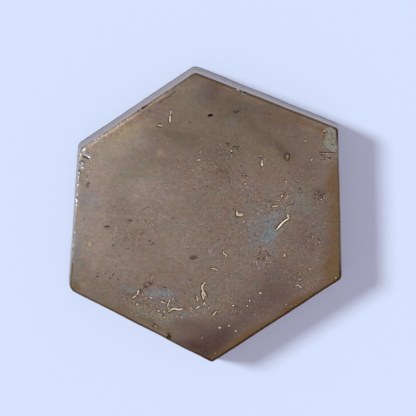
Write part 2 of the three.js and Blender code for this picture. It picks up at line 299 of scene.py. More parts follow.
# Dark cracks and seams: width, strength, redness (0 blue black to 1 red brown), and their points.
CRACKS = (
    (0.12, 0.9, 0.3, ((10.35, -1.5), (11.15, -0.65), (11.65, -0.22), (12.0, 0.1))),
    (0.1, 0.7, 0.3, ((10.75, -1.7), (11.5, -0.8), (12.2, -0.3))),
    (0.12, 0.6, 0.5, ((4.5, 1.3), (4.5, 0.5), (4.8, 0.3), (5.6, 0.33))),
    (0.15, 0.7, 0.5, ((5.1, 1.15), (5.15, 0.8))), (0.12, 0.8, 0.7, ((11.35, 3.1), (11.75, 3.5))),
    (0.09, 0.6, 1.0, ((11.6, 3.75), (11.95, 3.95))),
    (0.1, 0.6, 1.0, ((12.6, 2.2), (12.95, 2.15), (13.3, 2.35))),
    (0.09, 0.4, 0.5, ((9.3, 2.6), (9.9, 2.65))), (0.1, 0.4, 0.8, ((9.1, -0.4), (9.7, -0.45))),
    (0.14, 0.5, 0.3, ((7.6, 2.6), (7.9, 2.5))),
    (0.2, 0.9, 0.9, ((-9.05, -10.15), (-8.8, -10.3), (-8.45, -10.15))),
    (0.14, 0.8, 1.0, ((-9.7, -11.3), (-9.55, -10.85), (-9.6, -10.45))),
    (0.12, 0.6, 1.0, ((-9.35, -10.85), (-9.1, -10.55), (-9.15, -10.3))),
    (0.12, 0.6, 0.2, ((-9.0, -9.9), (-8.8, -9.6), (-8.55, -9.45))),
    (0.16, 0.8, 1.0, ((-8.25, -9.4), (-8.2, -9.7), (-8.0, -9.85), (-7.85, -9.75), (-7.8, -9.45))),
    (0.13, 0.8, 0.4, ((-6.2, -10.25), (-5.65, -10.3))), (0.1, 0.4, 0.4, ((-6.7, -10.0), (-6.5, -10.2))),
    (0.11, 0.7, 0.9, ((-6.3, -12.35), (-5.9, -12.25))),
    (0.1, 0.7, 0.6, ((-5.4, -14.15), (-4.8, -13.8), (-3.6, -13.8))),
    (0.12, 0.5, 0.9, ((-1.45, -11.6), (-1.4, -12.1))),
    (0.11, 0.7, 0.6, ((-0.6, -10.6), (-0.62, -11.3), (-0.45, -11.9))),
    (0.11, 0.6, 0.6, ((0.05, -10.8), (0.35, -11.3), (0.4, -11.8))),
    (0.1, 0.6, 0.3, ((-0.3, -9.5), (-0.6, -10.0))), (0.12, 0.6, 0.3, ((-7.7, -15.7), (-7.2, -15.95))),
    (0.1, 0.5, 0.5, ((-8.0, -16.0), (-7.4, -16.45))), (0.1, 0.6, 0.7, ((1.0, -14.35), (1.55, -13.65))),
    (0.1, 0.5, 0.7, ((1.35, -14.75), (1.9, -14.05))), (0.13, 0.6, 0.5, ((1.5, -7.4), (1.9, -7.5))),
    (0.1, 0.45, 0.9, ((-2.5, -9.2), (-1.85, -9.22))), (0.14, 0.4, 1.0, ((-3.05, -11.0), (-3.0, -11.35))),
    (0.1, 0.5, 0.4, ((4.4, -13.15), (5.0, -13.2))), (0.2, 0.8, 0.8, ((3.0, 11.18), (3.7, 11.18))),
    (0.2, 0.8, 0.8, ((3.4, 11.1), (3.45, 10.65))),
    (0.19, 0.7, 0.2, ((4.05, 10.65), (4.6, 10.72), (5.1, 10.76))),
    (0.13, 0.4, 0.2, ((4.6, 10.35), (5.0, 10.3))), (0.12, 0.7, 0.4, ((7.9, 9.12), (8.4, 9.15))),
    (0.11, 0.6, 0.6, ((8.08, 8.4), (8.1, 8.0), (8.3, 7.75))),
    (0.26, 0.85, 0.1, ((4.15, 16.0), (4.6, 15.72), (5.05, 16.05), (5.2, 16.35))),
    (0.16, 0.95, 0.8, ((11.8, 8.75), (11.72, 9.2), (11.95, 9.65), (12.35, 9.6), (12.45, 9.1),
                       (12.35, 8.75), (12.05, 8.65))),
    (0.09, 0.7, 0.4, ((16.8, 9.87), (18.0, 9.86), (19.2, 9.84))),
    (0.09, 0.35, 0.5, ((17.0, 9.5), (17.8, 9.47))), (0.09, 0.35, 0.4, ((17.4, 9.15), (18.7, 9.12))),
    (0.09, 0.35, 0.6, ((16.9, 8.8), (17.9, 8.75))), (0.1, 0.6, 0.3, ((18.5, 11.05), (19.05, 10.95))),
    (0.09, 0.3, 0.9, ((18.0, 11.7), (18.7, 11.9), (19.2, 11.8))),
    (0.09, 0.3, 0.9, ((18.55, 12.9), (18.6, 12.2), (18.5, 11.3))),
    (0.12, 0.5, 0.3, ((-5.35, 15.0), (-5.35, 14.2))), (0.11, 0.4, 0.3, ((-4.85, 15.6), (-4.85, 14.8))),
    (0.12, 0.5, 0.4, ((-7.3, 13.75), (-6.8, 13.6), (-6.3, 13.62))),
    (0.13, 0.7, 0.9, ((-8.95, 16.5), (-8.35, 16.9))), (0.13, 0.5, 1.0, ((-8.3, 16.1), (-7.9, 15.85))),
    (0.13, 0.6, 0.9, ((-4.9, 18.25), (-5.6, 17.85), (-6.8, 17.15))),
    (0.1, 0.5, 0.8, ((-4.2, 18.9), (-5.1, 18.35))),
    (0.2, 0.9, 0.1, ((-18.0, 9.3), (-17.5, 9.1), (-17.0, 8.9))),
    (0.12, 0.5, 0.4, ((-17.4, 6.55), (-17.35, 6.1))),
    (0.15, 0.9, 0.6, ((-11.35, -0.2), (-11.05, -0.22), (-10.7, -0.3))),
    (0.1, 0.45, 0.3, ((-8.9, -0.2), (-8.55, -0.5))), (0.1, 0.5, 0.3, ((-7.9, -4.0), (-7.55, -3.5))),
    (0.14, 0.5, 0.1, ((-11.6, -4.45), (-11.15, -4.45))), (0.13, 0.4, 1.0, ((-9.5, -2.5), (-8.9, -2.0))),
    (0.18, 0.9, 0.6, ((-13.7, -8.6), (-13.5, -8.3), (-13.4, -8.15))),
    (0.11, 0.5, 0.9, ((-14.4, -8.9), (-13.9, -8.95))), (0.1, 0.4, 0.9, ((-14.9, -8.1), (-14.6, -8.3))),
    (0.12, 0.6, 0.4, ((-1.75, -1.9), (-1.45, -1.95))), (0.12, 0.5, 0.4, ((0.55, -1.8), (0.9, -2.0))),
)

# Dark holes: x, y, length, width, heading, depth, strength, redness.
HOLES = (
    (0.8, 15.35, 0.8, 0.42, 10, 0.5, 1.0, 0.2), (-14.47, -1.15, 0.85, 0.24, 0, 0.15, 0.8, 0.0),
    (-17.2, 5.25, 0.38, 0.22, 70, 0.15, 0.7, 0.1), (-17.35, 4.8, 0.3, 0.18, 60, 0.1, 0.5, 0.1),
    (-1.7, -5.8, 1.3, 0.65, 5, 0.06, 0.68, 0.6), (-1.75, -5.95, 0.8, 0.22, 5, 0.1, 0.75, 0.4),
    (-6.6, 14.1, 0.26, 0.22, 0, 0.15, 0.7, 0.0), (-2.15, 14.3, 0.4, 0.26, 0, 0.06, 0.4, 0.2),
    (9.45, 15.5, 0.26, 0.22, 0, 0.06, 0.4, 0.8), (3.94, 9.8, 0.24, 0.2, 0, 0.1, 0.7, 0.6),
    (6.05, 6.42, 0.28, 0.22, 0, 0.1, 0.8, 0.2), (5.45, 6.4, 0.2, 0.16, 0, 0.08, 0.5, 0.2),
    (5.3, 7.85, 0.22, 0.22, 0, 0.1, 0.6, 0.3), (2.5, 9.45, 0.4, 0.14, 0, 0.08, 0.5, 0.3),
    (1.6, 8.15, 0.14, 0.5, 0, 0.06, 0.4, 0.3), (-0.2, 7.3, 0.2, 0.2, 0, 0.08, 0.6, 0.5),
    (0.3, 4.85, 0.2, 0.2, 0, 0.08, 0.6, 0.3), (-9.95, -0.25, 0.2, 0.2, 0, 0.06, 0.4, 0.3),
    (-13.55, -3.95, 0.2, 0.4, 0, 0.08, 0.7, 0.5), (-12.8, -5.55, 0.3, 0.14, 0, 0.06, 0.5, 0.5),
    (-17.9, 0.0, 0.2, 0.2, 0, 0.06, 0.5, 0.3), (-13.3, 1.75, 0.2, 0.2, 0, 0.06, 0.4, 0.4),
    (14.05, 4.56, 0.24, 0.22, 0, 0.08, 0.6, 0.8), (13.85, 4.6, 0.2, 0.2, 0, 0.06, 0.5, 0.9),
    (-4.8, 0.1, 0.24, 0.22, 0, 0.08, 0.6, 0.2), (4.2, 1.55, 0.2, 0.2, 0, 0.08, 0.6, 0.3),
    (3.5, 1.05, 0.2, 0.18, 0, 0.08, 0.5, 0.3), (4.7, -0.65, 0.2, 0.2, 0, 0.08, 0.5, 0.3),
    (-15.95, -8.65, 0.36, 0.26, 0, 0.1, 0.7, 0.0), (-12.9, -9.1, 0.24, 0.2, 0, 0.08, 0.6, 0.4),
    (-13.25, -7.05, 0.25, 0.18, 0, 0.06, 0.4, 0.5), (-8.05, -8.6, 0.38, 0.34, 0, 0.04, 0.35, 0.0),
    (-8.18, -3.3, 0.45, 0.24, 0, 0.06, 0.5, 0.0), (-8.0, -3.85, 0.2, 0.18, 0, 0.06, 0.4, 0.3),
    (-4.44, -9.2, 0.3, 0.24, 0, 0.04, 0.35, 1.0), (-9.97, -8.75, 0.4, 0.2, 0, 0.04, 0.35, 1.0),
    (-10.0, -12.95, 0.2, 0.18, 0, 0.08, 0.7, 0.4), (-6.2, -14.5, 0.2, 0.2, 0, 0.08, 0.7, 0.3),
    (-4.53, -11.9, 0.2, 0.18, 0, 0.06, 0.5, 1.0), (-5.4, -17.3, 0.5, 0.36, 10, 0.12, 0.8, 0.9),
    (17.65, 9.05, 0.2, 0.16, 0, 0.06, 0.4, 0.6), (18.35, 9.0, 0.3, 0.24, 0, 0.1, 0.8, 0.7),
    (8.15, -4.2, 0.24, 0.2, 0, 0.08, 0.7, 0.3), (8.15, -5.15, 0.22, 0.2, 0, 0.08, 0.7, 0.3),
    (7.9, -5.95, 0.24, 0.2, 0, 0.1, 0.9, 0.4), (8.7, -6.0, 0.24, 0.2, 0, 0.1, 0.8, 0.5),
    (9.35, -5.3, 0.24, 0.18, 0, 0.08, 0.7, 0.8), (8.8, -5.65, 0.2, 0.18, 0, 0.08, 0.6, 0.5),
    (9.1, -6.75, 0.22, 0.2, 0, 0.08, 0.7, 0.5), (9.7, -5.55, 0.3, 0.18, -30, 0.08, 0.7, 0.8),
    (9.0, -4.85, 0.2, 0.17, 0, 0.08, 0.6, 0.3), (9.0, -8.25, 0.2, 0.2, 0, 0.08, 0.6, 0.4),
    (6.35, -6.75, 0.24, 0.18, 0, 0.08, 0.5, 0.8), (10.5, -6.3, 0.2, 0.16, 0, 0.06, 0.5, 0.7),
    (11.76, -5.85, 0.3, 0.12, 0, 0.06, 0.5, 0.8), (7.5, -2.4, 0.2, 0.2, 0, 0.06, 0.5, 0.5),
    (7.2, 1.4, 0.24, 0.2, 0, 0.06, 0.4, 0.6), (17.0, 3.55, 0.2, 0.16, 0, 0.1, 0.9, 0.2),
    (16.75, 4.0, 0.2, 0.16, 0, 0.1, 0.8, 0.2), (17.35, 3.3, 0.2, 0.16, 0, 0.1, 0.8, 0.2),
    (16.2, 3.65, 0.2, 0.14, 0, 0.08, 0.7, 0.2), (16.75, 3.0, 0.24, 0.14, 0, 0.08, 0.7, 0.5),
    (17.55, 3.75, 0.16, 0.16, 0, 0.08, 0.7, 0.2), (15.7, -2.2, 0.2, 0.2, 0, 0.08, 0.5, 0.5),
    (16.9, -3.1, 0.24, 0.16, 0, 0.08, 0.6, 0.6), (17.2, -2.2, 0.2, 0.16, 0, 0.08, 0.5, 0.5),
    (16.3, 0.4, 0.2, 0.18, 0, 0.06, 0.5, 0.4), (-9.1, 16.35, 0.3, 0.24, 0, 0.1, 0.8, 1.0),
    (-18.1, 8.6, 0.35, 0.22, 10, 0.1, 0.8, 0.1), (-17.8, 8.4, 0.24, 0.2, 0, 0.1, 0.7, 0.1),
    (5.8, 18.6, 0.4, 0.3, 20, 0.06, 1.0, 0.6), (-13.8, 12.4, 0.24, 0.2, 0, 0.04, 0.35, 1.0),
    (-12.9, 12.5, 0.24, 0.2, 0, 0.04, 0.35, 1.0), (-12.2, 13.0, 0.22, 0.18, 0, 0.04, 0.35, 1.0),
    (-14.0, 6.7, 0.26, 0.34, 0, 0.04, 0.35, 0.9), (-1.6, 4.4, 0.3, 0.2, 0, 0.06, 0.35, 0.1),
    (0.45, -20.4, 0.3, 0.26, 0, 0.08, 0.6, 0.8), (0.1, -20.0, 0.22, 0.2, 0, 0.08, 0.6, 0.6),
    (17.4, -9.2, 0.2, 0.2, 0, 0.06, 0.5, 0.8), (2.1, -3.1, 0.2, 0.18, 0, 0.06, 0.5, 0.3),
)


def turned(points, heading):
    """Plan points turned about the origin, anticlockwise by heading degrees."""
    angle = math.radians(heading)
    cos, sin = math.cos(angle), math.sin(angle)
    return points @ np.array(((cos, sin), (-sin, cos)))


def patch_outline(x, y, length, width, heading, seed, raggedness=0.16):
    """A closed ragged outline of about that length and width."""
    draw = np.random.default_rng(seed)
    count = int(np.clip(round(9 * (length + width) ** 0.5), 7, 16))
    angle = 2 * math.pi * (np.arange(count) + draw.uniform(-0.25, 0.25, count)) / count
    radius = 1 + draw.uniform(-raggedness, raggedness, count)
    points = np.stack((np.cos(angle) * length, np.sin(angle) * width), axis=1) * 0.5 * radius[:, None]
    return turned(points, heading) + (x, y)


def smooth_path(points, spacing):
    """Points about spacing apart along the smooth curve through some points."""
    path = np.array(points)
    ends = np.vstack((2 * path[0] - path[1], path, 2 * path[-1] - path[-2]))
    rows = []
    for a, b, c, d in zip(ends, ends[1:], ends[2:], ends[3:]):
        steps = max(2, round(np.linalg.norm(c - b) / spacing))
        t = np.arange(steps)[:, None] / steps
        rows.append(0.5 * (2 * b + (c - a) * t + (2 * a - 5 * b + 4 * c - d) * t ** 2
                           + (3 * b - a - 3 * c + d) * t ** 3))
    return np.vstack((*rows, path[-1:]))


def thread_outline(points, width, seed):
    """The centre line of a thread and the closed outline round it, uneven and pointed at its ends."""
    draw = np.random.default_rng(seed)
    middle = smooth_path(points, PATH_SPACING)
    travel = np.gradient(middle, axis=0)
    across = np.stack((-travel[:, 1], travel[:, 0]), axis=1)
    across /= np.linalg.norm(across, axis=1)[:, None]
    along = np.linspace(0, 1, len(middle))
    taper = np.clip(4 * np.minimum(along, 1 - along) + 0.25, 0, 1)[:, None]
    left, right = 0.5 * width * taper * (1 + draw.uniform(-0.3, 0.3, (2, len(middle), 1)))
    return middle, np.vstack((middle + across * left, (middle - across * right)[::-1]))


pale_marks = []  # outline, strength and warmth of each
dark_marks = []  # outline, strength and redness of each
face_loops = []  # lines that the face's mesh follows: points, depth, and whether they close
for index, (width, strength, warmth, points) in enumerate(THREADS):
    middle, edge = thread_outline(points, width, seed=100 + index)
    pale_marks.append((edge, strength, warmth))
    face_loops += [(edge, 0, True), (middle[1:-1], THREAD_DEPTH, False)]
for index, (width, strength, redness, points) in enumerate(CRACKS):
    middle, edge = thread_outline(points, width, seed=300 + index)
    dark_marks.append((edge, strength, redness))
    face_loops += [(edge, 0, True), (middle[1:-1], CRACK_DEPTH, False)]
for index, (x, y, length, width, heading, strength, warmth) in enumerate(GRAINS):
    edge = patch_outline(x, y, length, width, heading, seed=200 + index)
    pale_marks.append((edge, strength, warmth))
    face_loops += [(edge, 0, True), ((edge - (x, y)) * GRAIN_FLOOR + (x, y), GRAIN_DEPTH, True)]
for index, (x, y, length, width, heading, depth, strength, redness) in enumerate(HOLES):
    edge = patch_outline(x, y, length, width, heading, seed=400 + index, raggedness=0.22)
    dark_marks.append((edge, strength, redness))
    face_loops += [(edge, 0, True), ((edge - (x, y)) * HOLE_FLOOR + (x, y), depth * HOLE_SLOPE, True),
                   (np.array(((x, y),)), depth, False)]

# ---------------------------------------------------------------------------------------------------
# The two flats. The face was polished on a cloth and swells a few microns; the back was only lapped,
# so it stays flat where it rests, with some larger pits where the grit tore grains out.

FACE_SPACING = 0.26  # mesh size on the face
BACK_SPACING = 0.6
SWELL = 0.012  # how high the face swells
FLAT_EDGE = 1.5  # how near the rim the swells begin to fade
RIM_CLEARANCE = 0.1  # a mark nearer the rim than this isn't cut into the mesh
BATCH = 4000  # points measured at a time, to spare memory

BACK_HOLES = (  # x, y, length, width, heading, depth
    (6.5, 7.2, 1.6, 0.9, 25, 0.5), (-8.3, -5.1, 1.2, 0.8, -35, 0.4),
    (11.4, -8.9, 0.9, 0.6, 70, 0.35), (-12.6, 6.4, 1.0, 0.5, 12, 0.3),
)
BACK_HOLE_STEPS = ((1.0, 0), (0.85, 0.5), (0.5, 0.9))  # shares of its size and of its depth
SMALL_BACK_HOLES = 60
SMALL_HOLE_LENGTHS = (0.2, 0.5)
SMALL_HOLE_DEPTHS = (0.05, 0.15)
SMALL_HOLE_FLOOR = 0.55  # size of its floor, as a share of its mouth


def signed_distance(points, loop):
    """How far each point is inside a closed loop; negative outside it."""
    start = np.asarray(loop)
    along = np.roll(start, -1, axis=0) - start
    length = (along ** 2).sum(1)
    result = np.empty(len(points))
    for first in range(0, len(points), BATCH):
        some = points[first:first + BATCH]
        offset = some[:, None] - start
        share = np.clip((offset * along).sum(2) / length, 0, 1)
        gap = np.linalg.norm(offset - share[..., None] * along, axis=2).min(1)
        spans = (offset[..., 1] < 0) != (offset[..., 1] < along[:, 1])
        rise = np.where(along[:, 1] == 0, 1, along[:, 1])
        crosses = spans & (offset[..., 0] < offset[..., 1] / rise * along[:, 0])
        result[first:first + BATCH] = np.where(crosses.sum(1) % 2 == 1, gap, -gap)
    return result


def flat_mesh(ring, spacing, loops, seed):
    """Fills a ring with triangles that follow the loops. Gives the plan points, their depths, the
    triangles, and the index of each of the ring's points."""
    draw = np.random.default_rng(seed)
    rows = [ring]
    depths = [np.zeros(len(ring))]
    edges = [(i, (i + 1) % len(ring)) for i in range(len(ring))]
    total = len(ring)
    for loop, depth, closed in loops:
        if signed_distance(loop, ring[::3]).min() < RIM_CLEARANCE:
            continue
        rows.append(loop)
        depths.append(np.full(len(loop), float(depth)))
        edges += [(total + i, total + (i + 1) % len(loop)) for i in range(len(loop) - (not closed))]
        total += len(loop)
    fixed = np.vstack(rows)
    tree = KDTree(len(fixed))
    for i, (x, y) in enumerate(fixed):
        tree.insert((x, y, 0), i)
    tree.balance()
    low, high = ring.min(0), ring.max(0)
    free = []
    for row, y in enumerate(np.arange(low[1], high[1], spacing * math.sqrt(0.75))):
        for x in np.arange(low[0] + (row % 2) * spacing / 2, high[0], spacing):
            free.append((x, y))
    free = np.array(free) + draw.uniform(-0.25, 0.25, (len(free), 2)) * spacing
    free = free[signed_distance(free, ring[::6]) > 0.5 * spacing]
    clear = [tree.find((x, y, 0))[2] > 0.45 * spacing for x, y in free]
    points = np.vstack((fixed, free[clear]))
    depth = np.concatenate((*depths, np.zeros(sum(clear))))
    plan, _, triangles, origins, _, held_by = delaunay_2d_cdt(
        [Vector(p) for p in points], edges, [list(range(len(ring)))[::-1]], 1, 1e-7, True)
    plan, triangles = np.array(plan), np.array(triangles)
    depth = np.array([depth[o].max() if len(o) else 0 for o in origins])
    on_ring = {i: j for j, o in enumerate(origins) for i in o if i < len(ring)}
    on_ring = [on_ring[i] for i in range(len(ring))]
    within = np.array([len(face) > 0 for face in held_by])  # the others bridge hollows of the ring
    return plan, depth, triangles[within], on_ring


rings = side_levels()
ring_size = len(rings[0])

back_loops = []
for index, (x, y, length, width, heading, depth) in enumerate(BACK_HOLES):
    edge = patch_outline(x, y, length, width, heading, seed=600 + index, raggedness=0.2)
    back_loops += [((edge - (x, y)) * size + (x, y), depth * share, True)
                   for size, share in BACK_HOLE_STEPS]
draw = np.random.default_rng(7)
for index in range(SMALL_BACK_HOLES):
    x, y = draw.uniform(-17, 17, 2)
    length = draw.uniform(*SMALL_HOLE_LENGTHS)
    width = length * draw.uniform(0.5, 1)
    edge = patch_outline(x, y, length, width, draw.uniform(0, 180), seed=700 + index, raggedness=0.25)
    if signed_distance(np.array(((x, y),)), rings[0][:, :2])[0] > 1:
        floor = (edge - (x, y)) * SMALL_HOLE_FLOOR + (x, y)
        back_loops += [(edge, 0, True), (floor, draw.uniform(*SMALL_HOLE_DEPTHS), True)]

face_plan, face_depth, face_triangles, face_ring = flat_mesh(
    rings[-1][:, :2], FACE_SPACING, face_loops, seed=21)
back_plan, back_depth, back_triangles, back_ring = flat_mesh(
    rings[0][:, :2], BACK_SPACING, back_loops, seed=22)
edge_gap = signed_distance(face_plan, rings[-1][::6, :2])
swell = SWELL * waves(face_plan, length=4, seed=31) + 0.4 * SWELL * waves(face_plan, length=1.1, seed=32)
face_height = THICKNESS - face_depth + swell * np.clip(edge_gap / FLAT_EDGE, 0, 1)

vertices = [np.vstack(rings)]
faces = []
for level in range(len(rings) - 1):
    for i in range(ring_size):
        low, after = level * ring_size + i, level * ring_size + (i + 1) % ring_size
        faces.append((low, low + ring_size, after + ring_size, after))
total = len(rings) * ring_size
for plan, height, triangles, on_ring, first, up in (
        (face_plan, face_height, face_triangles, face_ring, total - ring_size, True),
        (back_plan, back_depth, back_triangles, back_ring, 0, False)):
    names = np.full(len(plan), -1)
    names[on_ring] = first + np.arange(ring_size)
    inner = np.flatnonzero(names < 0)
    names[inner] = total + np.arange(len(inner))
    vertices.append(np.concatenate((plan[inner], height[inner, None]), axis=1))
    total += len(inner)
    side_1 = plan[triangles[:, 1]] - plan[triangles[:, 0]]
    side_2 = plan[triangles[:, 2]] - plan[triangles[:, 0]]
    turns_left = side_1[:, 0] * side_2[:, 1] > side_1[:, 1] * side_2[:, 0]
    flip = turns_left != up
    triangles = np.where(flip[:, None], triangles[:, ::-1], triangles)
    faces += names[triangles].tolist()


def placed(name, data):
    """A new object in the scene."""
    thing = bpy.data.objects.new(name, data)
    bpy.context.scene.collection.objects.link(thing)
    return thing


def mark_broken(mesh, brightness):
    """Notes on every facet of a mesh how bright a broken floor it is: 0 where nothing is broken."""
    note = mesh.attributes.new("broken", "FLOAT", "FACE")
    note.data.foreach_set("value", np.full(len(mesh.polygons), brightness, np.float32))


whole_mesh = bpy.data.meshes.new("whole_stone")
whole_mesh.from_pydata(np.vstack(vertices), [], faces)
mark_broken(whole_mesh, 0)
slab = placed("polished_stone", whole_mesh)

# ---------------------------------------------------------------------------------------------------
# The chips. Pyrite is brittle, so the rims have lost small flakes in grinding and in the hand: each
# left a shallow scoop with a stepped, shining floor.

# x, y, half its length, half its width, depth, heading, and how bright its broken floor is; the bright
# floors are partly a painted highlight, the glint of the window's light.
FACE_CHIPS = (
    (-17.9, 10.3, 0.5, 0.32, 0.3, 35, 1.0), (-17.6, 9.5, 0.9, 0.36, 0.3, -33, 1.0),
    (-18.2, 8.3, 0.4, 0.25, 0.3, -50, 0.6), (-18.2, 7.6, 0.4, 0.32, 0.35, 20, 0.8),
    (-18.6, 6.9, 0.55, 0.22, 0.3, 84, 0.4), (-19.0, 2.9, 0.5, 0.25, 0.3, 84, 0.6),
    (-16.1, 11.75, 0.7, 0.22, 0.2, 34, 0.5), (-14.5, 12.85, 0.6, 0.16, 0.16, 34, 0.4),
    (-9.0, 16.55, 0.4, 0.24, 0.3, 34, 0.15), (4.75, 19.1, 0.28, 0.12, 0.2, -21, 0.85),
    (5.6, 18.55, 0.38, 0.24, 0.3, -15, 0.9), (19.55, 12.2, 0.4, 0.2, 0.25, -88, 0.4),
    (-5.4, -17.9, 0.5, 0.35, 0.4, 60, 0.17), (-0.9, -20.6, 0.6, 0.28, 0.3, -28, 0.1),
)
BACK_CHIPS = (
    (-14.2, -14.3, 1.1, 0.6, 0.5, -28, 0.25), (20.5, 3.2, 1.3, 0.5, 0.45, -88, 0.35),
    (9.9, 17.7, 0.9, 0.5, 0.4, -21, 0.3),
)
FLAT_PLACES = 9  # flats on the floor of a chip
STEP_HEIGHT = 0.02  # height of the small steps between them


def chip_tool(x, y, z, along, across, down, heading, shine, seed):
    """The lump that one chip is broken out with: an egg with flat and stepped places."""
    shape = bmesh.new()
    bmesh.ops.create_icosphere(shape, subdivisions=4, radius=1)
    places = np.array([v.co for v in shape.verts])
    draw = np.random.default_rng(seed)
    reach = np.ones(len(places))
    for _ in range(FLAT_PLACES):
        facing = unit(draw.normal(size=3))
        cut = draw.uniform(0.72, 0.95)
        height = places @ facing
        reach = np.where(height > cut, np.minimum(reach, cut / np.maximum(height, 0.1)), reach)
    steps = STEP_HEIGHT * np.sin(9 * places @ unit(draw.normal(size=3)) + 3 * waves(places, 1.5, seed))
    places = places * (reach + steps)[:, None] * (along, across, down)
    places[:, :2] = turned(places[:, :2], heading)
    for vertex, place in zip(shape.verts, places + (x, y, z)):
        vertex.co = place
    mesh = bpy.data.meshes.new("chip")
    shape.to_mesh(mesh)
    shape.free()
    mark_broken(mesh, shine)
    return placed("chip", mesh)


tools = []
for chips, level, seed in ((FACE_CHIPS, THICKNESS, 800), (BACK_CHIPS, 0, 900)):
    for index, (x, y, *chip) in enumerate(chips):
        tools.append(chip_tool(x, y, level, *chip, seed + index))
for tool in tools:
    cut = slab.modifiers.new("chip", "BOOLEAN")
    cut.operation = "DIFFERENCE"
    cut.solver = "MANIFOLD"
    cut.object = tool
slab_mesh = bpy.data.meshes.new_from_object(slab.evaluated_get(bpy.context.evaluated_depsgraph_get()))
slab_mesh.name = "polished_stone"
slab.modifiers.clear()
slab.data = slab_mesh
for tool in tools:
    bpy.data.objects.remove(tool)
